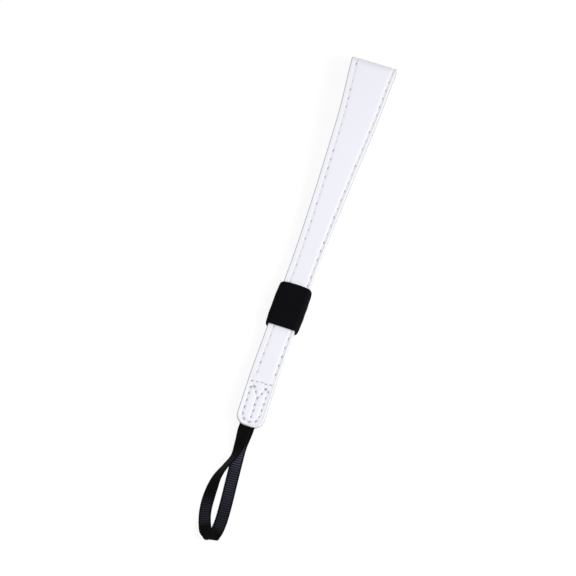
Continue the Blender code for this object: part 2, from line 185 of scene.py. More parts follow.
class LeatherSizes(bpy.types.PropertyGroup):
    """Sizes of the folded leather strip."""

    narrow: length("Sewn end width", 12.1, "Width of the strip at its sewn end")
    wide_run: length("Wide run", 4.0, "Run each side of the fold's middle at full width")
    taper_run: length("Taper run", 104.0, "Length over which the strip narrows")
    taper_power: number("Taper power", 1.45, "How late the taper opens", min=1.0)
    tip_radius: length("Tip radius", 4.5, "Radius of the sewn end's corners")
    tip_draw: length("Tip draw", 0.4, "How far the sewn end is drawn in")
    under_draw: length("Under draw", 0.6, "How much further its under leg is drawn in")
    outer: length("Outer thickness", 0.8, "Thickness of the outer leather")
    lining: length("Lining thickness", 0.45, "Thickness of the lining")
    trim: length("Lining trim", 0.25, "How much narrower the lining is at each edge")
    layer_gap: length("Layer gap", 0.15, "Gap between the leather and its lining")
    leg_gap: length("Leg gap", 0.3, "Gap between the two legs inside the keeper")
    edge_round: length("Edge radius", 0.5, "Radius of the outer leather's worn edges")
    # Painted shade: the cut edge's grey is full on the left edge, away from the key light, and only
    # this share of it on the right
    right_shade_share: number("Right wear", 0.5, "Share of the left edge's grey that the right edge has")
    crown: length("Crown", 0.1, "How much lower the outer face is at its edges")
    crown_run: length("Crown run", 3.0, "Run from an edge in which the face reaches its height")
    leg_slip: length("Leg slip", 0.1, "How far the legs lie off each other")
    fold_set: length("Fold set", 1.2, "How far the fold leans to one side")
    fold_set_run: length("Fold set run", 34.0, "Length over which the fold leans")
    fold_skew: length("Fold skew", 0.5, "How much less the fold's top leans than its under side")
    end_drift: length("End drift", 0.8, "How far the sewn end drifts to the other side")
    legs_part_over: length("Legs part over", 26.0, "Run in which the under leg comes down")
    end_closes_over: length("End closes over", 10.0, "Run in which the legs close on the webbing")


class StitchSizes(bpy.types.PropertyGroup):
    """Sizes of the seams and their thread."""

    left_margin: length("Left margin", 2.6, "Distance of the left row from the strip's edge")
    right_margin: length("Right margin", 1.55, "Distance of the right row from the strip's edge")
    row_start: length("Row start", 24.4, "Distance of the edge rows' ends from the tip")
    right_late: length("Right late", 1.2, "How much further from the tip the right row ends")
    edge_pitch: length("Edge pitch", 4.4, "Stitch length of the edge rows")
    radius: length("Thread radius", 0.18, "Radius of the white thread")
    groove: length("Groove depth", 0.08, "How deep the rows are pulled into the leather")
    groove_half: length("Groove half width", 0.6, "Half width of the hollow along a row")
    hole: length("Hole depth", 0.3, "Depth of a needle hole below the groove")
    hole_half: length("Hole half width", 0.36, "Half width of a needle hole")
    hole_reach: length("Hole reach", 0.92, "Half length of a needle hole")
    lift: length("Lift", 0.44, "Height of the sewn end's under face over the ground")


class WebbingSizes(bpy.types.PropertyGroup):
    """Sizes of the webbing loop."""

    width: length("Width", 5.4, "Width of the webbing")
    thickness: length("Thickness", 0.7, "Thickness of the webbing")
    rib_pitch: length("Rib pitch", 1.02, "Distance between two ribs")
    rib_depth: length("Rib depth", 0.12, "Depth of the valleys between the ribs")
    selvedge: length("Selvedge", 0.75, "Width of the plain edge of the webbing")
    reach: length("Reach", 51.6, "How far the loop reaches beyond the sewn end")
    side: length("Side", 0.65, "How far the webbing leaves the end off its middle")
    bend_at: length("Bend place", 2.3, "How far the turn at the loop's end lies to the side")
    bend_radius: length("Bend radius", 1.3, "Radius of the turn at the loop's end")
    bend_slide: length("Bend slide", 1.9, "How far the webbing moves along the turn's line")
    bend_lift: length("Bend lift", 0.22, "How far the turn stands off the ground")
    bend_lead: length("Bend lead", 1.0, "Straight stretch at each end of the turn")
    bend_pinch: number("Bend pinch", 0.2, "Share of its width that the webbing loses in its turn")
    pinch_run: length("Pinch run", 1.6, "Run each side of the turn in which the webbing is narrower")
    bend_bearing: number("Bend bearing", 17.0, "Degrees from the strap's cross line to the turn's")
    bend_twist: number("Bend twist", 18.0, "Degrees that the webbing swings round in its turn")


class KeeperSizes(bpy.types.PropertyGroup):
    """Sizes of the elastic keeper."""

    wall: length("Wall", 1.3, "Thickness of the elastic")
    slack: length("Slack", 0.25, "Room between the elastic and the legs' faces")
    corner: length("Corner", 2.3, "Outer radius of the keeper's corners")
    edge_round: length("Edge radius", 0.38, "Radius of the elastic's selvedges")
    end_bow: length("End bow", 0.9, "How far the elastic's far end stands out on its upper face")
    near_bow: number("Near bow", 0.6, "Share of that bow at the near end, on the under face")
    end_draw: length("End draw", 0.35, "How much thinner the elastic is at its selvedges")
    corner_draw: length("Corner draw", 0.3, "How much thinner the elastic is at its corners")
    rib_pitch: length("Rib pitch", 1.0, "Distance between the elastic's ribs")
    rib_depth: length("Rib depth", 0.09, "Depth between the elastic's ribs")
    ripple: length("Ripple", 0.03, "Height of the slow waves of the elastic's face")
    seam_half: length("Seam half width", 1.5, "Half width of the zigzag seam")
    seam_depth: length("Seam depth", 0.4, "Depth of the seat of the zigzag seam")
    seam_pitch: length("Seam pitch", 2.4, "Length of one zigzag")
    seam_inset: length("Seam inset", 1.4, "Distance of the zigzag's ends from the elastic's")
    thread_radius: length("Thread radius", 0.15, "Radius of the zigzag thread")


class Finishes(bpy.types.PropertyGroup):
    """Colours of the strap's materials."""

    leather: colour("Leather", (0.9, 0.9, 0.985), "Outer face of the leather")
    margin: colour("Margin", (0.915, 0.915, 0.965), "Leather outside the left edge row")
    # Painted shade: the leather outside the right edge row is coloured darker, to hold back the key
    # light that falls on that side
    lit_margin: colour("Lit margin", (0.82, 0.82, 0.86), "Leather outside the right edge row")
    # The cut edge's grey is partly the colour of its fibres and partly painted shade, most of it on the
    # left edge
    cut_edge: colour("Cut edge", (0.62, 0.62, 0.63), "Cut and sealed edge of the leather")
    # Painted shade: the needle holes are coloured dark for the shade inside them
    hole: colour("Needle hole", (0.24, 0.24, 0.29), "Bottom of a needle hole")
    # Painted shade: the hollow along a row is coloured a little darker
    groove: colour("Groove", (0.78, 0.78, 0.83), "Bottom of the hollow along a row")
    lining: colour("Lining", (0.78, 0.78, 0.8), "Lining leather")
    thread: colour("Thread", (0.9, 0.9, 0.95), "White sewing thread")
    webbing: colour("Webbing", (0.0015, 0.0012, 0.0016), "Valleys and edges of the webbing")
    # Painted light: the webbing's valleys, coloured lighter along the stretches where light falls on
    # the loop
    lit_ground: colour("Faded webbing", (0.007, 0.007, 0.012), "The same where the webbing is worn")
    # Painted highlight: the rib crests' colour, laid on where light falls along the loop
    rib: colour("Webbing rib", (0.085, 0.095, 0.14), "Crests of the webbing's ribs")
    elastic: colour("Elastic", (0.003, 0.003, 0.0045), "Yarn of the keeper")
    lint: colour("Lint", (0.014, 0.014, 0.018), "Raised fibres of the keeper")


class StageSizes(bpy.types.PropertyGroup):
    """The floor, the light and the camera."""

    floor: number("Floor", 3.0, "Side of the floor", unit="LENGTH")
    key: number("Key light", 6.1, "Power of the soft light on the right", unit="POWER")
    key_size: number("Key size", 0.5, "Width of the soft light", unit="LENGTH")
    key_place: FloatVectorProperty(
        name="Key place",
        description="The soft light's place right of, beyond and above the target",
        default=(0.6, -0.3, 0.5),
        subtype="TRANSLATION",
        unit="LENGTH",
    )
    ambient: number("Ambient", 0.5, "Strength of the even light from all round")
    turn: number(
        "Turn", math.radians(18.8), "How far the strap is turned in the picture", subtype="ANGLE"
    )
    elevation: number(
        "Elevation", math.radians(68.0), "Height of the camera's line of sight", subtype="ANGLE"
    )
    distance: number("Distance", 0.8, "Camera to strap", unit="LENGTH")
    per_pixel: length("Size of a pixel", 0.4395, "Real size of one pixel at the strap")
    target: FloatVectorProperty(
        name="Target",
        description="Point that the camera looks at",
        default=(-0.0021, 0.0004, 0.004),
        subtype="TRANSLATION",
        unit="LENGTH",
    )
    picture: IntProperty(
        name="Picture", description="Width of the picture in pixels", default=576
    )


class WristStrap(bpy.types.PropertyGroup):
    """Every setting of the strap."""

    leather: PointerProperty(type=LeatherSizes)
    stitch: PointerProperty(type=StitchSizes)
    webbing: PointerProperty(type=WebbingSizes)
    keeper: PointerProperty(type=KeeperSizes)
    finish: PointerProperty(type=Finishes)
    stage: PointerProperty(type=StageSizes)


def smooth(start, end, values):
    """0 before start and 1 after end, level at both."""
    t = np.clip((values - start) / (end - start), 0.0, 1.0)
    return t * t * (3 - 2 * t)


def unit(vectors):
    """The vectors, each made one long."""
    return vectors / np.linalg.norm(vectors, axis=-1, keepdims=True)


def smoothed(controls, per_span):
    """A smooth curve through control points of any number of values."""
    points = np.array([controls[0], *controls, controls[-1]], float)
    t = np.linspace(0, 1, per_span, endpoint=False)[:, None]
    spans = []
    for a, b, c, d in zip(points, points[1:], points[2:], points[3:]):
        bend = 2 * a - 5 * b + 4 * c - d + t * (3 * (b - c) + d - a)
        spans.append(b + t / 2 * (c - a + t * bend))
    return np.concatenate([*spans, points[-1:]])


def walked(points):
    """The distance along a line at each of its points."""
    return np.concatenate([[0.0], np.cumsum(np.linalg.norm(np.diff(points, axis=0), axis=1))])


class StrapPath:
    """The joint between the strap's two leathers, from the under tip round the fold to the upper."""

    STEP = 0.5 * MM
    BEND_STEPS = 60

    def __init__(self, settings):
        self.sizes = sizes = settings.leather
        self.lift = settings.keeper.wall + settings.keeper.slack
        self.end_lift = settings.stitch.lift
        self.stack = 2 * settings.webbing.thickness + 3 * sizes.layer_gap
        self.leg = sizes.outer + sizes.layer_gap + sizes.lining
        depth = sizes.outer + sizes.layer_gap / 2
        y = np.linspace(0, FOLD_CENTRE, round(FOLD_CENTRE / self.STEP) + 1)
        drawn = 1 - smooth(0, sizes.end_closes_over, y)
        high_y = y + sizes.tip_draw * drawn
        low_y = high_y + sizes.under_draw * drawn
        lower = np.stack([self.side_shift(y, 0), low_y, self.under_height(y) + depth], 1)
        upper = np.stack([self.side_shift(y, 1), high_y, self.top_height(y) - depth], 1)[::-1]
        angle = np.linspace(0, math.pi, self.BEND_STEPS + 1)[1:-1]
        radius = FOLD_RADIUS - depth
        bend_y = FOLD_CENTRE + radius * np.sin(angle)
        bend_x = self.side_shift(bend_y, angle / math.pi)
        bend = np.stack([bend_x, bend_y, FOLD_RADIUS - radius * np.cos(angle)], 1)
        self.points = np.concatenate([lower, bend, upper])
        self.distance = walked(self.points)
        self.length = self.distance[-1]
        along = np.gradient(self.points, self.distance, axis=0)
        self.outward = unit(np.stack([0 * along[:, 0], along[:, 2], -along[:, 1]], 1))

    def under_height(self, y):
        """Height of the lower leg's outer face over the ground."""
        flat_end = STRAIGHT_FROM - self.sizes.end_closes_over
        at_keeper = smooth(flat_end, STRAIGHT_FROM, y)
        past_keeper = smooth(STRAIGHT_TO, STRAIGHT_TO + self.sizes.legs_part_over, y)
        return (self.end_lift + (self.lift - self.end_lift) * at_keeper) * (1 - past_keeper)

    def top_height(self, y):
        """Height of the upper leg's outer face, from the sewn end up to the fold."""
        flat_end = STRAIGHT_FROM - self.sizes.end_closes_over
        sewn = self.end_lift + 2 * self.leg + self.stack
        at_keeper = self.lift + 2 * self.leg + self.sizes.leg_gap
        closed = sewn + (at_keeper - sewn) * smooth(flat_end, STRAIGHT_FROM, y)
        return closed + (2 * FOLD_RADIUS - at_keeper) * smooth(STRAIGHT_TO, FOLD_CENTRE, y)

    def side_shift(self, y, upper):
        """How far the strip's middle lies off the axis, upper being 0 on the under leg and 1 on top."""
        slip = self.sizes.leg_slip / 2 * (1 - smooth(STRAIGHT_TO, FOLD_END, y))
        lean = self.sizes.fold_set * smooth(FOLD_END - self.sizes.fold_set_run, FOLD_END, y)
        lean = lean - self.sizes.fold_skew * upper * smooth(STRAIGHT_TO, FOLD_CENTRE, y)
        drift = self.sizes.end_drift * (1 - smooth(0, STRAIGHT_FROM, y))
        return slip * (1 - 2 * upper) - lean + drift

    def half_width(self, distance):
        """Half the strip's width there, as if its tips were square."""
        from_middle = np.abs(distance - self.length / 2)
        run = np.maximum(0.0, from_middle - self.sizes.wide_run) / self.sizes.taper_run
        share = np.maximum(0.0, 1 - run) ** self.sizes.taper_power
        return (self.sizes.narrow + (STRIP_WIDE - self.sizes.narrow) * share) / 2

    def from_tip(self, distance):
        """The distance to the nearer tip."""
        return np.minimum(distance, self.length - distance)

    def kept(self, distance):
        """How much of its width the strip keeps where its tips are rounded."""
        radius = self.sizes.tip_radius
        short = np.maximum(0.0, radius - self.from_tip(distance))
        lost = radius - np.sqrt(np.maximum(0.0, radius**2 - short**2))
        return 1 - lost / self.half_width(distance)

    def inside(self, distance, across):
        """How far a point lies inside the strip's outline."""
        radius = self.sizes.tip_radius
        half = self.half_width(distance)
        from_tip = self.from_tip(distance)
        side = half - np.abs(across)
        round_x = np.maximum(0.0, radius - side)
        round_y = np.maximum(0.0, radius - from_tip)
        corner = radius - np.hypot(round_x, round_y)
        return np.maximum(0.0, np.where((round_x > 0) & (round_y > 0), corner,
                                        np.minimum(side, from_tip)))

    def place(self, distance, across, out):
        """World points, across from the strip's middle and out from the joint of its layers."""
        x, y, z = (np.interp(distance, self.distance, self.points[:, k]) for k in range(3))
        rise_y, rise_z = (np.interp(distance, self.distance, self.outward[:, k]) for k in (1, 2))
        x = x + across + self.sizes.fold_set
        return np.stack(np.broadcast_arrays(x, y + rise_y * out + TIP_Y, z + rise_z * out), -1)

    def outward_at(self, distance):
        """The direction out of the outer face."""
        y, z = (np.interp(distance, self.distance, self.outward[:, k]) for k in (1, 2))
        return unit(np.array([0.0, y, z]))


class Seam:
    """One seam as its needle holes, each (distance along the strip, across it)."""

    JITTER = 0.06 * MM

    def __init__(self, holes, rng, pull):
        noise = np.array([[rng.uniform(-1, 1), rng.uniform(-0.7, 0.7)] for _ in holes])
        self.holes = np.array(holes, float) + noise * self.JITTER
        self.pulled = np.array([rng.uniform(*pull) for _ in holes])

    def stitches(self):
        """Pairs of holes that the thread joins."""
        return list(zip(self.holes, self.holes[1:]))


def row_margin(stitch, across):
    """The edge row's distance from the strip's edge, on the side where a point lies."""
    return np.where(np.asarray(across) < 0, stitch.left_margin, stitch.right_margin)


def edge_seam(path, stitch, side):
    """An edge row from the bar seam round the fold and back on the other leg."""
    first = stitch.row_start + (stitch.right_late if side > 0 else 0.0)
    run = path.length - 2 * first
    count = round(run / stitch.edge_pitch)
    distance = first + run * np.arange(count + 1) / count
    across = side * (path.half_width(distance) - row_margin(stitch, side))
    return Seam(np.stack([distance, across], 1), random.Random(SEED + side), EDGE_PULL)


def box_plan():
    """The end seam's needle holes, across and from the tip in mm: it runs up the middle, over the
    left arch and down its column, along the foot, and up and over on the right."""
    middle = [(0.1, 4.25), (0.2, 7.15), (0.0, 9.85), (0.1, 12.85)]
    left_arch = [(-1.2, 15.45), (-2.6, 17.45), (-3.8, 16.85)]
    left = [(-4.0, 14.05), (-3.9, 10.85), (-3.9, 7.55), (-3.7, 4.65)]
    foot = [(-2.5, 2.55), (0.1, 1.85), (2.8, 2.95)]
    right = [(3.6, 5.35), (3.6, 8.25), (3.7, 11.15), (3.7, 14.05)]
    right_arch = [(3.8, 16.95), (2.6, 17.65), (1.4, 15.35), (0.3, 13.25)]
    return middle + left_arch + left + foot + right + right_arch


def bar_plan():
    """The short cross row's needle holes, across and from the tip in mm."""
    return [(-4.2, 19.75), (-2.1, 19.95), (0.0, 20.25), (1.9, 20.05), (3.9, 20.25)]


def end_seam(path, plan, upper, seed):
    """A seam of the sewn end, on the upper or the under leg."""
    line = np.array(plan) * MM
    distance = path.length - line[:, 1] if upper else line[:, 1]
    return Seam(np.stack([distance, line[:, 0]], 1), random.Random(SEED + seed), END_PULL)


def all_seams(path, stitch):
    """Every seam by its name."""
    return {
        "edge_left": edge_seam(path, stitch, -1),
        "edge_right": edge_seam(path, stitch, 1),
        "end_top": end_seam(path, box_plan(), True, 10),
        "end_under": end_seam(path, box_plan(), False, 11),
        "bar_top": end_seam(path, bar_plan(), True, 12),
        "bar_under": end_seam(path, bar_plan(), False, 13),
    }


def seam_masks(stitch, seams, distance, across):
    """(groove, hole), from 0 to 1, of the seams over rows of surface points."""
    groove = np.zeros(across.shape)
    hole = np.zeros(across.shape)
    reach = 3 * stitch.groove_half
    for seam in seams:
        for (start, end), pulls in zip(seam.stitches(), zip(seam.pulled, seam.pulled[1:])):
            low, high = np.searchsorted(
                distance, (min(start[0], end[0]) - reach, max(start[0], end[0]) + reach)
            )
            rows = slice(low, high)
            way = unit(end - start)
            gap = np.linalg.norm(end - start)
            step = np.stack(
                [
                    np.broadcast_to(distance[rows, None] - start[0], across[rows].shape),
                    across[rows] - start[1],
                ],
                -1,
            )
            along = step @ way
            beside = step @ np.array([-way[1], way[0]])
            past = np.maximum(0, np.maximum(-along, along - gap))
            hollow = np.exp(-(beside**2 + past**2) / stitch.groove_half**2)
            groove[rows] = np.maximum(groove[rows], hollow)
            for spot, pull in zip((0.0, gap), pulls):
                shape = ((along - spot) / stitch.hole_reach) ** 2
                shape = shape + (beside / stitch.hole_half) ** 2
                hole[rows] = np.maximum(hole[rows], pull * np.exp(-shape))
    return groove, hole


def rolled(bm, places, uvs, masks=None, closed_rows=False):
    """Adds a grid rolled into a tube: places[i, j] is point j of ring i, and uvs has one more point
    a ring, so that the pattern runs to the roll's seam. Rings may also close on each other."""
    rings, around = places.shape[:2]
    spans = rings if closed_rows else rings - 1
    uv_layer = bm.loops.layers.uv.verify()
    layers = {
        name: bm.verts.layers.float.get(name) or bm.verts.layers.float.new(name)
        for name in (masks or {})
    }
    made = bmesh.ops.create_grid(bm, x_segments=spans, y_segments=around, size=0.5)["verts"]
    index = {}
    for vert in made:
        index[vert] = (round((vert.co.x + 0.5) * spans), round((vert.co.y + 0.5) * around))
    faces = {face for vert in made for face in vert.link_faces}
    for face in faces:
        for loop in face.loops:
            loop[uv_layer].uv = uvs[index[loop.vert]]
    for vert, (i, j) in index.items():
        spot = (i % rings, j % around)
        vert.co = places[spot]
        for name, layer in layers.items():
            vert[layer] = masks[name][spot]
    bmesh.ops.remove_doubles(bm, verts=made, dist=1e-7)


def tube_uvs(at, around):
    """The map of a rolled thread: metres along it, and its turn from 0 to 1."""
    u, v = np.meshgrid(at, np.linspace(0, 1, around + 1), indexing="ij")
    return np.stack([u, v], -1)


def finished(name, bm, material, body, slot, nodes, sharp):
    """The mesh as a piece that rides on its body and stands for its solids, with its edges past
    the sharp angle kept."""
    open_edges = [edge for edge in bm.edges if edge.is_boundary]
    if open_edges:
        bmesh.ops.holes_fill(bm, edges=open_edges, sides=0)
    bmesh.ops.recalc_face_normals(bm, faces=bm.faces)
    mesh = bpy.data.meshes.new(name)
    bm.to_mesh(mesh)
    bm.free()
    mesh.shade_smooth()
    mesh.set_sharp_from_angle(angle=math.radians(sharp))
    mesh.materials.append(material)
    piece = bpy.data.objects.new(name, mesh)
    bpy.context.scene.collection.objects.link(piece)
    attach(piece, body)
    if nodes:
        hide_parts(*nodes)


def rolled_piece(name, shape, *looks, closed_rows=False):
    """One rolled grid, its shape being (places, masks, map), as a finished piece."""
    bm = bmesh.new()
    places, masks, uvs = shape
    rolled(bm, places, uvs, masks, closed_rows)
    finished(name, bm, *looks)


def node(tree, kind, inputs=None, **settings):
    """A new node with its settings, whose inputs are values or the sockets that feed them."""
    made = tree.nodes.new(kind)
    for key, value in settings.items():
        setattr(made, key, value)
    for key, value in (inputs or {}).items():
        if isinstance(value, bpy.types.NodeSocket):
            tree.links.new(value, made.inputs[key])
        else:
            made.inputs[key].default_value = value
    return made


def maths(tree, operation, *values):
    """The outcome of a Math node."""
    return node(tree, "ShaderNodeMath", dict(enumerate(values)), operation=operation).outputs[0]


def ramp(tree, value, low, high):
    """The value brought from low..high to 0..1, and held there."""
    inputs = {"Value": value, "From Min": low, "From Max": high}
    return node(tree, "ShaderNodeMapRange", inputs, clamp=True).outputs["Result"]


def noise(tree, vector, scale, **more):
    """The value of a noise texture."""
    inputs = {"Vector": vector, "Scale": scale, **more}
    return node(tree, "ShaderNodeTexNoise", inputs).outputs["Fac"]


def blended(tree, share, first, second):
    """Two colours mixed by a share."""
    made = node(tree, "ShaderNodeMix", data_type="RGBA")
    for socket, value in ((0, share), (6, first), (7, second)):
        if isinstance(value, bpy.types.NodeSocket):
            tree.links.new(value, made.inputs[socket])
        else:
            made.inputs[socket].default_value = value if socket == 0 else (*value, 1)
    return made.outputs[2]


def mask(tree, name):
    """A value that the mesh carries."""
    return node(tree, "ShaderNodeAttribute", attribute_name=name).outputs["Fac"]


def bump(tree, height, distance, strength, normal=None):
    """A bumped normal, after another one where that is given."""
    inputs = {"Height": height, "Distance": distance, "Strength": strength}
    if normal:
        inputs["Normal"] = normal
    return node(tree, "ShaderNodeBump", inputs).outputs["Normal"]


def shader_group(name, inputs, outputs, build):
    """The named group of nodes, built once: build(tree, input sockets) gives its output sockets."""
    tree = bpy.data.node_groups.get(name)
    if tree:
        return tree
    tree = bpy.data.node_groups.new(name, "ShaderNodeTree")
    for label, kind in inputs:
        tree.interface.new_socket(label, in_out="INPUT", socket_type="NodeSocket" + kind)
    for label in outputs:
        tree.interface.new_socket(label, in_out="OUTPUT", socket_type="NodeSocketFloat")
    given = tree.nodes.new("NodeGroupInput")
    results = tree.nodes.new("NodeGroupOutput")
    for label, socket in build(tree, given.outputs).items():
        tree.links.new(socket, results.inputs[label])
    return tree


def placed(tree, group, inputs):
    """The outputs of a group placed in a material's tree."""
    return node(tree, "ShaderNodeGroup", inputs, node_tree=group).outputs


def new_material(name):
    """(material, its tree, its shader, the piece's own map in metres)."""
    material = bpy.data.materials.new(name)
    material.use_nodes = True
    tree = material.node_tree
    shader = tree.nodes["Principled BSDF"]
    spot = node(tree, "ShaderNodeUVMap", uv_map="UVMap").outputs["UV"]
    return material, tree, shader, spot


def feed(tree, shader, links, **values):
    """Links surfaces that vary to the shader, and sets its plain values on its own sockets."""
    for key, socket in links.items():
        tree.links.new(socket, shader.inputs[key])
    for key, value in values.items():
        shader.inputs[key.replace("_", " ").title().replace("Ior", "IOR")].default_value = value


def leather_grain():
    """Fine pores and slow unevenness of leather."""

    def build(tree, given):
        pores = node(
            tree,
            "ShaderNodeTexVoronoi",
            {"Vector": given["Vector"], "Scale": given["Pores"], "Smoothness": 0.35},
            feature="SMOOTH_F1",
        ).outputs["Distance"]
        coarser = maths(tree, "MULTIPLY", given["Pores"], 0.45)
        fine = noise(tree, given["Vector"], coarser, Detail=3.0)
        slow = noise(tree, given["Vector"], given["Waves"], Detail=2.0)
        height = maths(tree, "ADD", maths(tree, "MULTIPLY", pores, 0.6), fine)
        return {"Height": height, "Mottle": fine, "Wave": slow}

    return shader_group(
        "leather_grain",
        [("Vector", "Vector"), ("Pores", "Float"), ("Waves", "Float")],
        ["Height", "Mottle", "Wave"],
        build,
    )


def cut_fibres():
    """Short fibres along a cut edge."""

    def build(tree, given):
        inputs = {"Vector": given["Vector"], "Scale": (1.0, 6.0, 1.0)}
        drawn_out = node(tree, "ShaderNodeMapping", inputs).outputs["Vector"]
        return {"Shade": ramp(tree, noise(tree, drawn_out, 900.0, Detail=4.0), 0.3, 0.7)}

    return shader_group("cut_fibres", [("Vector", "Vector")], ["Shade"], build)


def thread_twist():
    """The plies of a twisted thread, on a map of metres along and turns round."""

    def build(tree, given):
        parts = node(tree, "ShaderNodeSeparateXYZ", {"Vector": given["Vector"]}).outputs
        turns = maths(tree, "DIVIDE", parts["X"], given["Lay"])
        phase = maths(tree, "ADD", turns, maths(tree, "MULTIPLY", parts["Y"], 2.0))
        wave = maths(tree, "SINE", maths(tree, "MULTIPLY", phase, math.tau))
        ply = maths(tree, "ABSOLUTE", wave)
        fluff = noise(tree, given["Vector"], 5200.0)
        height = maths(tree, "ADD", ply, maths(tree, "MULTIPLY", fluff, 0.35))
        return {"Height": height, "Valley": maths(tree, "SUBTRACT", 1.0, ply)}

    return shader_group(
        "thread_twist", [("Vector", "Vector"), ("Lay", "Float")], ["Height", "Valley"], build
    )


def woven_yarns():
    """Yarns that cross at their own pitches, with lint on them."""

    def build(tree, given):
        parts = node(tree, "ShaderNodeSeparateXYZ", {"Vector": given["Vector"]}).outputs
        stray = noise(tree, given["Vector"], 700.0, Detail=1.0)
        waves = []
        for axis, pitch in (("X", given["Along Pitch"]), ("Y", given["Across Pitch"])):
            count = maths(tree, "DIVIDE", parts[axis], pitch)
            count = maths(tree, "ADD", count, maths(tree, "MULTIPLY", stray, 0.5))
            wave = maths(tree, "SINE", maths(tree, "MULTIPLY", count, math.tau))
            waves.append(maths(tree, "MULTIPLY_ADD", wave, 0.5, 0.5))
        crossing = maths(tree, "MULTIPLY", *waves)
        lint = noise(tree, given["Vector"], 2600.0, Detail=5.0, Roughness=0.7)
        height = maths(tree, "ADD", crossing, maths(tree, "MULTIPLY", lint, 0.6))
        return {"Height": height, "Yarn": crossing, "Lint": ramp(tree, lint, 0.5, 0.72)}

    return shader_group(
        "woven_yarns",
        [("Vector", "Vector"), ("Along Pitch", "Float"), ("Across Pitch", "Float")],
        ["Height", "Yarn", "Lint"],
        build,
    )


def leather_material(name, face, finish, pores, roughness):
    """White leather: fine grain, a paler margin, a cut fibrous edge, and painted shade in the needle
    holes, the grooves, the right margin and part of the edge's grey.
    """
    material, tree, shader, spot = new_material(name)
    grain = placed(tree, leather_grain(), {"Vector": spot, "Pores": pores, "Waves": 70.0})
    cut = placed(tree, cut_fibres(), {"Vector": spot})
    edge, hole, groove = (mask(tree, m) for m in ("edge", "hole", "groove"))
    paler = blended(tree, mask(tree, "margin"), face, tuple(finish.margin))
    # Painted shade: the margin outside the right edge row is darkened
    paler = blended(tree, mask(tree, "lit_margin"), paler, tuple(finish.lit_margin))
    tone = maths(tree, "MULTIPLY", ramp(tree, grain["Wave"], 0.35, 0.65), 0.35)
    warm = tuple(c * k for c, k in zip(face, (0.985, 0.98, 0.955)))
    skin = blended(tree, tone, paler, warm)
    # Painted shade: the hollows along the rows are darkened a little
    skin = blended(tree, maths(tree, "MULTIPLY", groove, 0.06), skin, tuple(finish.groove))
    fibre = blended(
        tree, cut["Shade"], tuple(c * 0.8 for c in finish.cut_edge), tuple(finish.cut_edge)
    )
    # Painted shade: part of the cut edge's grey, more on the left edge than on the right
    cut_share = ramp(tree, maths(tree, "MULTIPLY_ADD", cut["Shade"], 0.12, edge), 0.45, 0.7)
    whole = blended(tree, cut_share, skin, fibre)
    # Painted shade: the needle holes are darkened
    whole = blended(tree, ramp(tree, hole, 0.2, 0.7), whole, tuple(finish.hole))
    rough = maths(tree, "MULTIPLY_ADD", grain["Mottle"], 0.16, roughness)
    rough = maths(tree, "MULTIPLY_ADD", cut_share, 0.25, rough)
    slow = bump(tree, grain["Wave"], 0.25 * MM, 0.3)
    normal = bump(tree, grain["Height"], 0.035 * MM, 0.5, slow)
    feed(
        tree,
        shader,
        {"Base Color": whole, "Roughness": rough, "Normal": normal},
        specular_ior_level=0.4,
        sheen_weight=0.05,
        sheen_roughness=0.5,
    )
    return material


def thread_material(name, base, dark, lay, sheen):
    """A twisted sewing thread, with painted shade between its plies."""
    material, tree, shader, spot = new_material(name)
    twist = placed(tree, thread_twist(), {"Vector": spot, "Lay": lay})
    # Painted shade: the thread is darkened between its plies
    tint = blended(tree, maths(tree, "MULTIPLY", twist["Valley"], 0.45), base, dark)
    normal = bump(tree, twist["Height"], 0.06 * MM, 0.7)
    feed(
        tree,
        shader,
        {"Base Color": tint, "Normal": normal},
        roughness=0.6,
        sheen_weight=sheen,
        sheen_roughness=0.4,
    )
    return material


def webbing_material(finish):
    """Black ribbed webbing: fine warp yarns over ribs whose crests carry a painted highlight, on
    valleys painted lighter where light falls along the loop.
    """
    material, tree, shader, spot = new_material("black_ribbed_webbing")
    pitches = {"Along Pitch": 0.6 * MM, "Across Pitch": 0.24 * MM}
    yarns = placed(tree, woven_yarns(), {"Vector": spot, **pitches})
    # Painted highlight: the crests' colour and the lighter valleys, by the share of light painted along
    # the loop
    rib, worn = mask(tree, "rib"), mask(tree, "worn")
    crest = maths(tree, "MULTIPLY", rib, worn)
    crest = maths(tree, "MULTIPLY", crest, maths(tree, "MULTIPLY_ADD", yarns["Yarn"], 0.5, 0.5))
    ground = blended(tree, worn, tuple(finish.webbing), tuple(finish.lit_ground))
    tint = blended(tree, crest, ground, tuple(finish.rib))
    tint = blended(tree, maths(tree, "MULTIPLY", yarns["Lint"], 0.12), tint, tuple(finish.lint))
    normal = bump(tree, yarns["Height"], 0.05 * MM, 0.6)
    rough = maths(tree, "MULTIPLY_ADD", rib, -0.12, 0.75)
    feed(
        tree,
        shader,
        {"Base Color": tint, "Roughness": rough, "Normal": normal},
        specular_ior_level=0.09,
        sheen_weight=0.015,
        sheen_roughness=0.35,
        sheen_tint=(0.7, 0.75, 1.0, 1),
    )
    return material


def elastic_material(finish):
    """Black knitted elastic with a soft pile."""
    material, tree, shader, spot = new_material("black_knitted_elastic")
    pitches = {"Along Pitch": 0.7 * MM, "Across Pitch": 0.5 * MM}
    yarns = placed(tree, woven_yarns(), {"Vector": spot, **pitches})
    rib = mask(tree, "rib")
    share = maths(tree, "MULTIPLY", yarns["Lint"], maths(tree, "MULTIPLY_ADD", rib, 0.5, 0.3))
    tint = blended(tree, share, tuple(finish.elastic), tuple(finish.lint))
    normal = bump(tree, yarns["Height"], 0.07 * MM, 0.8)
    feed(
        tree,
        shader,
        {"Base Color": tint, "Normal": normal},
        roughness=0.85,
        specular_ior_level=0.06,
        sheen_weight=0.03,
        sheen_roughness=0.45,
        sheen_tint=(0.8, 0.82, 1.0, 1),
    )
    return material


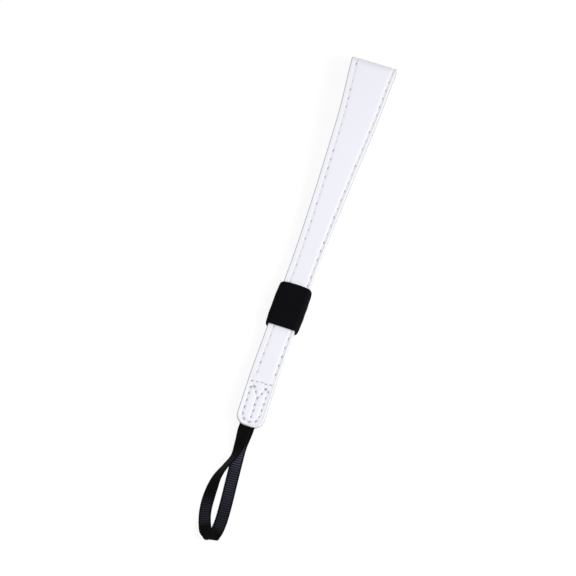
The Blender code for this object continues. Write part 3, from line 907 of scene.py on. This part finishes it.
def over_edge(radius):
    """Distances in from an edge that step evenly over its rounding."""
    return radius * (1 - np.cos(np.linspace(0, math.pi / 2, EDGE_CUTS)))


def strip_stations(path, pitch):
    """Distances along the strip, close together over its rounded end edges."""
    radius = path.sizes.edge_round
    edge = over_edge(radius)
    run = path.length - 2 * radius
    middle = radius + run * np.linspace(0, 1, round(run / pitch) + 1)
    return np.concatenate([edge[:-1], middle, (path.length - edge[:-1])[::-1]])


def face_offsets(path, stitch, across_middle):
    """Distances from the right and the left edge, fine at edges and rows, and the middle's shares."""
    edge = over_edge(path.sizes.edge_round)
    row = np.linspace(-1, 1, ROW_CUTS)
    row = ROW_REACH * np.sign(row) * np.abs(row) ** 1.6
    right, left = (np.concatenate([edge, row + row_margin(stitch, side)]) for side in (1, -1))
    return right, left, np.linspace(1, -1, across_middle + 2)[1:-1]


def face_across(half, right, left, middle):
    """All the places across a face of that half width, from its right edge to its left."""
    reach = half - (right[-1] + left[-1]) / 2
    off = (left[-1] - right[-1]) / 2
    return np.concatenate([half - right, off + middle * reach, left[::-1] - half])


def outer_mesh(path, stitch, seams):
    """The outer leather: a rolled grid with worn edges, grooves along the seams and needle holes."""
    sizes = path.sizes
    count = round((path.length - 2 * stitch.row_start) / stitch.edge_pitch)
    pitch = (path.length - 2 * stitch.row_start) / count / RINGS_A_STITCH
    distance = strip_stations(path, pitch)
    offsets = face_offsets(path, stitch, OUTER_CUTS)
    halves = path.half_width(distance)
    flat = np.stack([face_across(half, *offsets) for half in halves])
    across = flat * path.kept(distance)[:, None]
    inside = path.inside(distance[:, None], across)
    near = sizes.layer_gap / 2
    face = near + sizes.outer
    radius = sizes.edge_round
    short = np.maximum(0.0, radius - inside)
    groove, hole = seam_masks(stitch, seams, distance, across)
    settled = smooth(*OUTER_SETTLES, inside)
    out = face - radius + np.sqrt(radius**2 - short**2)
    out = out - settled * (groove * stitch.groove + hole * stitch.hole) - crowned(sizes, inside)
    wall = near + CUT_HEIGHTS
    right = (halves[:, None] - CUT_INSETS) * path.kept(distance)[:, None]
    back = np.linspace(BACK_SHARE, -BACK_SHARE, 4) * right[:, :1]
    ring_x = np.concatenate([right, across, -right[:, ::-1], -back], 1)
    ring_out = np.concatenate(
        [
            np.broadcast_to(wall, right.shape),
            out,
            np.broadcast_to(wall[::-1], right.shape),
            np.full(back.shape, near),
        ],
        1,
    )
    places = path.place(distance[:, None], ring_x, ring_out)
    ends = np.zeros(right.shape)
    blank = np.zeros(back.shape)

    def masked(values, at_right=0.0, at_left=0.0):
        return np.concatenate([ends + at_right, values, ends + at_left, blank], 1)

    margin = row_margin(stitch, across)
    outside = 1 - smooth(margin - MARGIN_BLEND, margin, inside)
    # Painted shade: the left edge takes the cut edge's full grey and the right edge only a share, as
    # the key light comes from the right
    worn = np.where(across > 0, sizes.right_shade_share, 1.0)
    masks = {
        "edge": masked(worn * (1 - smooth(0.3 * radius, radius, inside)), sizes.right_shade_share, 1.0),
        "hole": masked(hole * settled),
        "groove": masked(groove * settled),
        "margin": masked(np.where(across < 0, outside, 0.0)),
        # Painted shade on the leather outside the right edge row
        "lit_margin": masked(np.where(across > 0, outside, 0.0)),
    }
    return places, masks, ring_map(distance, places)


def ring_map(distance, places):
    """The map of a strip's rings: metres along it, and metres round it from the first point."""
    closed = np.concatenate([places, places[:, :1]], 1)
    sides = np.linalg.norm(np.diff(closed, axis=1), axis=2)
    v = np.concatenate([np.zeros((len(places), 1)), np.cumsum(sides, axis=1)], 1)
    u = np.broadcast_to(distance[:, None], v.shape)
    return np.stack([u, v - v[:, -1:] / 2], -1)


def lining_mesh(path, stitch, seams):
    """The lining: a thinner strip on the wrist side, pulled in along the edge rows."""
    sizes = path.sizes
    distance = strip_stations(path, LINING_STEP)
    right, left, middle = face_offsets(path, stitch, LINING_CUTS)
    right, left = (side - sizes.trim * (side > sizes.edge_round) for side in (right, left))
    halves = path.half_width(distance) - sizes.trim
    flat = np.stack([face_across(half, right, left, middle) for half in halves])
    across = flat * path.kept(distance)[:, None]
    inside = path.inside(distance[:, None], across)
    near = -sizes.layer_gap / 2
    far = near - sizes.lining
    radius = LINING_EDGE * sizes.edge_round
    short = np.clip(radius - (inside - sizes.trim), 0.0, radius)
    groove, hole = seam_masks(stitch, seams, distance, across)
    settled = smooth(*LINING_SETTLES, inside)
    out = far + radius - np.sqrt(radius**2 - short**2)
    groove_depth, hole_depth = LINING_GROOVE * stitch.groove, LINING_HOLE * stitch.hole
    out = out + settled * (groove * groove_depth + hole * hole_depth)
    right = halves[:, None] * path.kept(distance)[:, None]
    back = np.linspace(BACK_SHARE, -BACK_SHARE, 3) * right
    ring_x = np.concatenate([right, across, -right, -back], 1)
    ring_out = np.concatenate(
        [np.full(right.shape, near), out, np.full(right.shape, near), np.full(back.shape, near)], 1
    )
    places = path.place(distance[:, None], ring_x, ring_out)
    ends, blank = np.zeros(right.shape), np.zeros(back.shape)

    def masked(values, at_wall):
        return np.concatenate([ends + at_wall, values, ends + at_wall, blank + at_wall], 1)

    masks = {
        "edge": masked(1 - smooth(0.2 * radius, 0.9 * radius, inside - sizes.trim), 1),
        "hole": masked(hole * settled, 0),
        "groove": masked(groove * settled, 0),
        "margin": masked(np.zeros(out.shape), 0),
        "lit_margin": masked(np.zeros(out.shape), 0),
    }
    return places, masks, ring_map(distance, places)


def stitch_line(path, start, end, base, dive):
    """(points, outward) of one stitch's thread, which dives into a hole at each end."""
    t = np.linspace(0, 1, STITCH_CUTS)
    t = t - 0.07 * np.sin(math.tau * t)
    distance, across = (start[k] + (end[k] - start[k]) * t for k in (0, 1))
    out = base - dive * np.abs(2 * t - 1) ** 3.5
    return path.place(distance, across, out), np.array([path.outward_at(d) for d in distance])


def add_thread(bm, points, outward, radius):
    """Adds one stretch of thread along points, a little flattened, its ends drawn to a point."""
    along = unit(np.gradient(points, axis=0))
    side = unit(np.cross(along, outward))
    rise = np.cross(side, along)
    turn = np.linspace(0, math.tau, THREAD_SIDES, endpoint=False)
    taper = np.ones(len(points))
    taper[[0, -1]] = THREAD_TIP
    width = radius / THREAD_FLAT**0.5 * taper
    height = radius * THREAD_FLAT**0.5 * taper
    places = (
        points[:, None]
        + side[:, None] * (np.cos(turn) * width[:, None])[..., None]
        + rise[:, None] * (np.sin(turn) * height[:, None])[..., None]
    )
    rolled(bm, places, tube_uvs(walked(points), THREAD_SIDES))


def crowned(sizes, inside):
    """How much lower the outer face lies there than at its middle."""
    return sizes.crown * (1 - smooth(0, sizes.crown_run, inside)) * smooth(*OUTER_SETTLES, inside)


def seam_threads(path, stitch, seam, inner=False):
    """All the stitches of a seam, on the outer face or on the lining."""
    sizes = path.sizes
    bm = bmesh.new()
    face = sizes.layer_gap / 2 + (sizes.lining if inner else sizes.outer)
    side = -1 if inner else 1
    for start, end in seam.stitches():
        sunk = 0.0 if inner else crowned(sizes, path.inside(*(start + end) / 2))
        base = side * (face - stitch.radius - sunk - THREAD_PRESS)
        dive = side * (stitch.hole + stitch.radius)
        points, outward = stitch_line(path, start, end, base, dive)
        add_thread(bm, points, side * outward, stitch.radius)
    return bm


def loop_controls():
    """The webbing's middle line: x, y, height, then its cross direction's bearing and tilt.

    It leaves the sewn end, lies on the ground down the right of the loop, turns over itself at the
    bottom and comes back up the left, tipped on edge where it crosses to its place above the start.
    Places are shares of the loop's reach, heights are in thicknesses of the webbing, and a height
    of None is that of the webbing's sewn-in end.
    """
    down = [
        (0.002, 0.11, None, 0, 0),
        (0.010, -0.018, None, -3, 0),
        (0.002, -0.17, 1.7, 1, 0),
        (0.015, -0.333, 0.75, 3, 0),
        (0.031, -0.494, 0.5, 4, 0),
        (0.048, -0.656, 0.5, 3, 0),
        (0.058, -0.798, 0.5, 0, 0),
        (0.054, -0.89, 0.5, -3, 0),
    ]
    up = [
        (-0.03, -0.927, 4.1, 33, 4),
        (-0.052, -0.885, 3.3, 26, 10),
        (-0.076, -0.822, 2.3, 20, 14),
        (-0.092, -0.757, 1.65, 12, 13),
        (-0.102, -0.675, 1.2, 4, 10),
        (-0.103, -0.567, 1.7, -8, 20),
        (-0.092, -0.466, 2.9, -17, 40),
        (-0.058, -0.366, 3.95, -20, 53),
        (-0.013, -0.256, 4.9, -13, 46),
        (-0.006, -0.133, 4.7, -4, 16),
        (-0.016, -0.019, None, 3, 3),
        (-0.010, 0.11, None, 0, 0),
    ]
    return down, up


def bend_controls(webbing):
    """The turn at the loop's bottom: a helix about a line across the loop, with a lead at each end."""
    bearing = math.radians(webbing.bend_bearing)
    axis = np.array([math.cos(bearing), math.sin(bearing), 0])
    out = np.array([axis[1], -axis[0], 0])
    half = webbing.thickness / 2
    reach = half + webbing.width / 2 * math.sin(bearing) - webbing.reach
    crest = np.array([webbing.bend_at, reach, webbing.bend_lift + half + webbing.bend_radius])
    share = np.linspace(0, 1, TURN_POINTS)[:, None]
    angle = math.pi * (share - 0.5)
    spots = crest + axis * webbing.bend_slide * (0.5 - share)
    spots = spots + webbing.bend_radius * (out * (np.cos(angle) - 1) + np.sin(angle) * [0, 0, 1])
    arc = out * math.pi * webbing.bend_radius
    back = unit(arc - axis * webbing.bend_slide) * webbing.bend_lead
    on = unit(-arc - axis * webbing.bend_slide) * webbing.bend_lead
    spots = np.concatenate([spots[:1] - back, spots, spots[-1:] + on])
    swing = np.concatenate([[-0.5], share[:, 0] - 0.5, [0.5]])
    turned = webbing.bend_bearing + webbing.bend_twist * swing
    return np.column_stack([spots, turned, np.zeros(len(spots))])


def loop_line(settings):
    """The webbing's whole middle line in metres, from one sewn-in end to the other."""
    webbing, leather = settings.webbing, settings.leather
    leg = leather.outer + leather.layer_gap + leather.lining
    low_end = settings.stitch.lift + leg + leather.layer_gap + webbing.thickness / 2
    high_end = low_end + webbing.thickness + leather.layer_gap
    halves = []
    for half, end in zip(loop_controls(), (low_end, high_end)):
        rows = [
            (
                webbing.side + x * webbing.reach,
                y * webbing.reach,
                end if height is None else height * webbing.thickness,
                *turn,
            )
            for x, y, height, *turn in half
        ]
        halves.append(np.array(rows))
    return smoothed(np.concatenate([halves[0], bend_controls(webbing), halves[1]]), LOOP_CUTS)


def rib_highlight_share(at, turn):
    """How much painted highlight the ribs and valleys carry, by distance from the sewn-in end and from
    the turn at the bottom.
    """
    out_of_end = smooth(10 * MM, 17 * MM, at)
    past_crossing = 1 - 0.55 * smooth(18 * MM, 27 * MM, at)
    further_down = 1 - 0.5 * smooth(30 * MM, 46 * MM, at)
    before_turn = 1 - smooth(-8 * MM, -4 * MM, at - turn)
    past_turn = smooth(6 * MM, 9 * MM, at - turn) * (1 - smooth(14 * MM, 22 * MM, at - turn))
    return out_of_end * past_crossing * further_down * before_turn + 0.3 * past_turn


def webbing_section(webbing):
    """(shares, heights, ribbed): points from edge to edge, the face's height there without ribs,
    and 1 where it is ribbed and 0 on its selvedges."""
    share = np.array([1, 0.985, 0.95, 0.9, 0.84, 0.77, 0.68, 0.52, 0.35, 0.18, 0.0])
    share = np.concatenate([share, -share[-2::-1]])
    border = webbing.width / 2 - webbing.selvedge
    blend = 0.15 * MM
    ribbed = 1 - smooth(border - blend, border + blend, np.abs(share) * webbing.width / 2)
    return share, webbing.thickness / 2 * np.sqrt(1 - share**10), ribbed


def webbing_mesh(settings):
    """The webbing's rings: ribs between plain selvedges that curl over at the edge."""
    webbing = settings.webbing
    line = loop_line(settings)
    spots = line[:, :3]
    at = walked(spots)
    turn = at[np.argmin(spots[:, 1])]
    shown = spots[:, 1] < WEBBING_HIDDEN
    first, last = at[shown][0], at[shown][-1]
    ribs = round((last - first) / webbing.rib_pitch)
    wanted = np.linspace(first, last, ribs * RINGS_A_RIB + 1)
    middle = np.stack([np.interp(wanted, at, spots[:, k]) for k in range(3)], 1)
    bearing, tilt = (np.radians(np.interp(wanted, at, line[:, k])) for k in (3, 4))
    along = unit(np.gradient(middle, wanted, axis=0))
    across = np.stack(
        [np.cos(bearing) * np.cos(tilt), np.sin(bearing) * np.cos(tilt), np.sin(tilt)], 1
    )
    across = unit(across - along * np.sum(across * along, 1, keepdims=True))
    out = np.cross(across, along)
    share, full, ribbed = webbing_section(webbing)
    phase = (wanted - first) / (last - first) * ribs
    crest = np.abs(np.sin(math.pi * phase)) ** 0.8
    valley = webbing.rib_depth * (1 - crest)[:, None] * ribbed
    height = np.maximum(0.0, full - valley - SELVEDGE_SINK * (1 - ribbed))
    edge = 1 + SELVEDGE_WAVE * (1 - ribbed) * np.cos(math.tau * phase)[:, None]
    pinch = webbing.bend_pinch * np.exp(-(((wanted - turn) / webbing.pinch_run) ** 2))
    x = share * webbing.width / 2 * edge * (1 - pinch)[:, None]
    rings = []
    for sign, keep in ((1, slice(0, None)), (-1, slice(-2, 0, -1))):
        rings.append(
            middle[:, None]
            + across[:, None] * x[:, keep, None]
            + out[:, None] * (sign * height[:, keep, None])
        )
    places = np.concatenate(rings, 1)
    places += np.array([settings.leather.fold_set, TIP_Y, 0.0])
    rib = crest[:, None] ** 4 * ribbed
    rib = np.concatenate([rib, rib[:, -2:0:-1]], 1)
    # Painted highlight: the share of light painted on the ribs and valleys along the loop
    worn = np.broadcast_to(rib_highlight_share(wanted, turn)[:, None], rib.shape)
    return places, {"rib": rib, "worn": worn}, ring_map(wanted, places)


def keeper_ring(width, height, radius, count):
    """(x, z, out x, out z) round a box with round corners, centred, from its right side's middle."""
    straight_x, straight_z = width - 2 * radius, height - 2 * radius
    pieces = []
    for quarter in range(4):
        angle = math.pi / 2 * quarter
        corner_x = straight_x / 2 * (1, -1, -1, 1)[quarter]
        corner_z = straight_z / 2 * (1, 1, -1, -1)[quarter]
        for turn in np.linspace(angle, angle + math.pi / 2, KEEPER_CORNER_CUTS):
            pieces.append(
                (
                    corner_x + radius * math.cos(turn),
                    corner_z + radius * math.sin(turn),
                    math.cos(turn),
                    math.sin(turn),
                )
            )
    pieces = np.array(pieces + pieces[:1])
    at = walked(pieces[:, :2] + pieces[:, 2:] * radius)
    wanted = np.linspace(0, at[-1], count, endpoint=False)
    found = np.stack([np.interp(wanted, at, pieces[:, k]) for k in range(4)], 1)
    found[:, 2:] = unit(found[:, 2:])
    return found, wanted


def keeper_mesh(settings):
    """The elastic ring: ribs round it, soft selvedges, a slight belly and a seat for its seam."""
    keeper = settings.keeper
    outer_width = KEEPER_HIGH.x - KEEPER_LOW.x
    outer_height = KEEPER_HIGH.z - KEEPER_LOW.z
    centre_x = (KEEPER_HIGH.x + KEEPER_LOW.x) / 2
    centre_z = (KEEPER_HIGH.z + KEEPER_LOW.z) / 2
    inner_width = outer_width - 2 * keeper.wall
    inner_height = outer_height - 2 * keeper.wall
    ring, at = keeper_ring(
        inner_width, inner_height, keeper.corner - keeper.wall, KEEPER_SIDES
    )
    radius = keeper.edge_round
    ribs = round((KEEPER_LENGTH - 2 * radius) / keeper.rib_pitch)
    run = np.linspace(-1, 1, ribs * ROWS_A_RIB + 1)
    back = -run[:: 2 * ROWS_A_RIB]
    half = KEEPER_LENGTH / 2 - radius
    turn = np.linspace(math.pi / 2, -math.pi / 2, CURL_CUTS)[1:-1]
    curl_y = half + radius * np.cos(turn)
    y = np.concatenate([run * half, curl_y, back * half, -curl_y])
    crest = 1 - np.abs(np.cos(math.pi * ribs * (run + 1) / 2)) ** 1.5
    body = keeper.wall - keeper.rib_depth * (1 - crest)
    curl = keeper.wall / 2 * (1 + np.sin(turn))
    out = np.concatenate([body, curl, np.zeros(len(back)), keeper.wall - curl])
    cornered = 2 * np.abs(ring[:, 2] * ring[:, 3])
    drawn = keeper.end_draw * np.abs(y / half) ** 4 + (keeper.corner_draw * cornered)[:, None]
    out = out * (1 - drawn / keeper.wall)
    facing = len(run)
    x = ring[:, 0]
    seat = 1 - smooth(keeper.seam_half, keeper.seam_half + SEAT_SLOPE, np.abs(x))
    seat = np.where(ring[:, 3] < FACING_DOWN, seat, 0)
    out[:, :facing] -= (seat * keeper.seam_depth)[:, None]
    rng = np.random.default_rng(SEED)
    waves = sum(
        np.sin(math.tau * (k * np.arange(len(ring)) / len(ring) + rng.random()))[:, None]
        * np.sin(math.pi * (k + 1) * (run + rng.random()))[None]
        for k in (1, 2, 3)
    )
    above = np.clip(ring[:, 3] + 1, 0, 1)[:, None]
    out[:, :facing] += keeper.ripple * waves * above
    on_top = smooth(-0.3, 0.9, ring[:, 3]) * (1 - 0.5 * (x / inner_width * 2) ** 2)
    below = smooth(0.3, -0.9, ring[:, 3])
    bow = keeper.end_bow * on_top[:, None] * smooth(-half, half, y)
    bow = bow - keeper.near_bow * keeper.end_bow * below[:, None] * smooth(half, -half, y)
    places = np.stack(
        [
            centre_x + ring[:, 0, None] + ring[:, 2, None] * out,
            (KEEPER_LOW.y + KEEPER_HIGH.y) / 2 + y + bow,
            centre_z + ring[:, 1, None] + ring[:, 3, None] * out,
        ],
        -1,
    )
    places[..., 2] = np.maximum(places[..., 2], 0.0)
    rib = np.zeros(out.shape)
    rib[:, :facing] = crest
    u = np.broadcast_to(np.append(at, at[-1] + at[1])[:, None], (len(ring) + 1, len(y) + 1))
    v = np.broadcast_to(np.append(y, y[0])[None], u.shape)
    return places, {"rib": rib}, np.stack([u, v], -1)


def keeper_seam_threads(settings):
    """The zigzag that joins the elastic's ends on its under side."""
    keeper = settings.keeper
    bm = bmesh.new()
    low = KEEPER_LOW.y + keeper.seam_inset
    run = KEEPER_LENGTH - 2 * keeper.seam_inset
    turns = 2 * round(run / keeper.seam_pitch)
    reach = keeper.seam_half - keeper.thread_radius
    middle_x = (KEEPER_LOW.x + KEEPER_HIGH.x) / 2
    height = keeper.seam_depth - keeper.thread_radius * ZIGZAG_OUT
    t = np.linspace(0, 1, ZIGZAG_CUTS)
    rise = height + ZIGZAG_DIVE * np.abs(2 * t - 1) ** 5
    for i in range(turns):
        side = (-1) ** i * reach * (1 - 2 * t)
        points = np.stack([middle_x + side, low + run * (i + t) / turns, rise], 1)
        outward = np.broadcast_to([0.0, 0.0, -1.0], points.shape)
        add_thread(bm, points, outward, keeper.thread_radius)
    return bm


class StrapOperator:
    """What every operator of the strap shares."""

    bl_options = {"REGISTER", "UNDO"}

    def settings(self, context):
        """The strap's settings, as the panel shows them."""
        return context.scene.wrist_strap


class WRISTSTRAP_OT_stage(StrapOperator, bpy.types.Operator):
    """Lay the pale floor, set the soft light and place the camera"""

    bl_idname = "wriststrap.stage"
    bl_label = "Stage"

    def execute(self, context):
        stage = self.settings(context).stage
        scene = context.scene
        scene.view_settings.view_transform = "Standard"
        self.floor(scene, stage)
        self.world(scene, stage)
        self.camera_and_light(scene, stage)
        return {"FINISHED"}

    def floor(self, scene, stage):
        """A pale floor that keeps a faint shadow and is white where nothing shades it."""
        bm = bmesh.new()
        bmesh.ops.create_grid(bm, x_segments=1, y_segments=1, size=stage.floor / 2)
        mesh = bpy.data.meshes.new("floor")
        bm.to_mesh(mesh)
        bm.free()
        floor = bpy.data.objects.new("floor", mesh)
        scene.collection.objects.link(floor)
        material = bpy.data.materials.new("pale_floor")
        material.use_nodes = True
        tree = material.node_tree
        shader = tree.nodes["Principled BSDF"]
        feed(tree, shader, {}, base_color=(0.9, 0.9, 0.9, 1), roughness=0.9, specular_ior_level=0.1)
        white = node(tree, "ShaderNodeEmission", {"Strength": FLOOR_WHITE})
        rays = node(tree, "ShaderNodeLightPath").outputs
        seen = maths(tree, "MAXIMUM", rays["Is Camera Ray"], rays["Is Glossy Ray"])
        seen = maths(tree, "MAXIMUM", seen, rays["Is Transmission Ray"])
        share = maths(tree, "MULTIPLY", seen, FLOOR_WHITE_SHARE)
        inputs = {0: share, 1: shader.outputs[0], 2: white.outputs[0]}
        mixed = node(tree, "ShaderNodeMixShader", inputs)
        tree.links.new(mixed.outputs[0], tree.nodes["Material Output"].inputs["Surface"])
        floor.data.materials.append(material)

    def world(self, scene, stage):
        """Even light from all round, seen as white."""
        world = bpy.data.worlds.new("studio")
        scene.world = world
        world.use_nodes = True
        tree = world.node_tree
        back = tree.nodes["Background"]
        rays = node(tree, "ShaderNodeLightPath").outputs
        extra = maths(tree, "MULTIPLY", rays["Is Camera Ray"], 1 - stage.ambient)
        tree.links.new(maths(tree, "ADD", extra, stage.ambient), back.inputs["Strength"])
        back.inputs["Color"].default_value = (1, 1, 1, 1)

    def camera_and_light(self, scene, stage):
        """The camera at the photograph's angle, and the soft light on its right."""
        turn, rise = stage.turn, stage.elevation
        right = Vector((math.cos(turn), math.sin(turn), 0))
        back = Vector(
            (math.sin(turn) * math.cos(rise), -math.cos(turn) * math.cos(rise), math.sin(rise))
        )
        up = back.cross(right)
        target = Vector(stage.target)
        camera = bpy.data.cameras.new("camera")
        focal_pixels = stage.distance / stage.per_pixel
        camera.lens = camera.sensor_width * focal_pixels / stage.picture
        holder = bpy.data.objects.new("camera", camera)
        scene.collection.objects.link(holder)
        turned = Matrix((right, up, back)).transposed().to_4x4()
        holder.matrix_world = Matrix.Translation(target + back * stage.distance) @ turned
        scene.camera = holder
        lamp = bpy.data.lights.new("soft_key", "AREA")
        lamp.shape = "DISK"
        lamp.size = stage.key_size
        lamp.energy = stage.key
        key = bpy.data.objects.new("soft_key", lamp)
        scene.collection.objects.link(key)
        forward = Vector((-right.y, right.x, 0))
        beside, beyond, above = stage.key_place
        key.location = target + right * beside + forward * beyond + Vector((0, 0, above))
        key.rotation_euler = (target - key.location).to_track_quat("-Z", "Y").to_euler()


class WRISTSTRAP_OT_leather(StrapOperator, bpy.types.Operator):
    """Model the folded outer leather and its lining"""

    bl_idname = "wriststrap.leather"
    bl_label = "Leather"

    def execute(self, context):
        settings = self.settings(context)
        finish = settings.finish
        path = StrapPath(settings)
        seams = all_seams(path, settings.stitch)
        skin = leather_material("white_leather_skin", tuple(finish.leather), finish, 2300.0, 0.36)
        shape = outer_mesh(path, settings.stitch, seams.values())
        rolled_piece(
            "strap_leather", shape, skin, "strap", "white_leather", ["outer_leather"], 50
        )
        lining = leather_material("matt_lining", tuple(finish.lining), finish, 1500.0, 0.55)
        edges = [seams["edge_left"], seams["edge_right"]]
        shape = lining_mesh(path, settings.stitch, edges)
        rolled_piece(
            "strap_lining", shape, lining, "strap", "lining_leather", ["lining_leather"], 50
        )
        return {"FINISHED"}


class WRISTSTRAP_OT_stitching(StrapOperator, bpy.types.Operator):
    """Sew the edge rows, the end seams and the short cross rows"""

    bl_idname = "wriststrap.stitching"
    bl_label = "Stitching"

    def execute(self, context):
        settings = self.settings(context)
        path = StrapPath(settings)
        seams = all_seams(path, settings.stitch)
        base = tuple(settings.finish.thread)
        dark = tuple(c * PLY_SHADE for c in base)
        thread = thread_material("white_twisted_thread", base, dark, 0.62 * MM, 0.1)
        for name, seam, node_name in (
            ("edge_stitches_left", "edge_left", "edge_stitch_left"),
            ("edge_stitches_right", "edge_right", "edge_stitch_right"),
            ("end_stitches_top", "end_top", "end_seam_top"),
            ("end_stitches_under", "end_under", "end_seam_under"),
            ("bar_stitches_top", "bar_top", "bar_seam_top"),
            ("bar_stitches_under", "bar_under", "bar_seam_under"),
        ):
            bm = seam_threads(path, settings.stitch, seams[seam])
            finished(name, bm, thread, "strap", "white_thread", [node_name], 180)
        for side in ("left", "right"):
            bm = seam_threads(path, settings.stitch, seams["edge_" + side], inner=True)
            finished("lining_stitches_" + side, bm, thread, "strap", "white_thread", (), 180)
        return {"FINISHED"}


class WRISTSTRAP_OT_webbing(StrapOperator, bpy.types.Operator):
    """Weave the ribbed loop"""

    bl_idname = "wriststrap.webbing"
    bl_label = "Webbing loop"

    def execute(self, context):
        settings = self.settings(context)
        looks = (webbing_material(settings.finish), "strap", "black_webbing")
        rolled_piece("loop_webbing", webbing_mesh(settings), *looks, ["webbing_loop"], 60)
        return {"FINISHED"}


class WRISTSTRAP_OT_keeper(StrapOperator, bpy.types.Operator):
    """Knit the sliding elastic keeper and sew its seam"""

    bl_idname = "wriststrap.keeper"
    bl_label = "Keeper"

    def execute(self, context):
        settings = self.settings(context)
        looks = (elastic_material(settings.finish), "keeper", "black_elastic", ["keeper_band"], 70)
        rolled_piece("keeper_elastic", keeper_mesh(settings), *looks, closed_rows=True)
        lint = tuple(settings.finish.lint)
        dark = tuple(settings.finish.elastic)
        thread = thread_material("black_zigzag_thread", lint, dark, 0.5 * MM, 0.15)
        bm = keeper_seam_threads(settings)
        finished("keeper_zigzag", bm, thread, "keeper", "black_thread", ["keeper_seam"], 180)
        return {"FINISHED"}


OPERATORS = (
    WRISTSTRAP_OT_stage,
    WRISTSTRAP_OT_leather,
    WRISTSTRAP_OT_stitching,
    WRISTSTRAP_OT_webbing,
    WRISTSTRAP_OT_keeper,
)


class WRISTSTRAP_PT_panel(bpy.types.Panel):
    """Lists the strap's operators and its settings"""

    bl_label = "Wrist Strap"
    bl_idname = "WRISTSTRAP_PT_panel"
    bl_space_type = "VIEW_3D"
    bl_region_type = "UI"
    bl_category = "Wrist Strap"

    def draw(self, context):
        for operator in OPERATORS:
            self.layout.operator(operator.bl_idname)
        settings = context.scene.wrist_strap
        for name in ("leather", "stitch", "webbing", "keeper", "finish", "stage"):
            box = self.layout.box()
            box.label(text=name.title())
            group = getattr(settings, name)
            for prop in group.bl_rna.properties:
                if prop.identifier not in {"rna_type", "name"}:
                    box.prop(group, prop.identifier)


GROUPS = (LeatherSizes, StitchSizes, WebbingSizes, KeeperSizes, Finishes, StageSizes, WristStrap)


def register():
    for cls in (*GROUPS, *OPERATORS, WRISTSTRAP_PT_panel):
        bpy.utils.register_class(cls)
    bpy.types.Scene.wrist_strap = PointerProperty(type=WristStrap)


def unregister():
    del bpy.types.Scene.wrist_strap
    for cls in reversed((*GROUPS, *OPERATORS, WRISTSTRAP_PT_panel)):
        bpy.utils.unregister_class(cls)


def main():
    """Makes the whole strap on its stage."""
    register()
    bpy.ops.wriststrap.stage()
    bpy.ops.wriststrap.leather()
    bpy.ops.wriststrap.stitching()
    bpy.ops.wriststrap.webbing()
    bpy.ops.wriststrap.keeper()


if __name__ == "__main__":
    main()
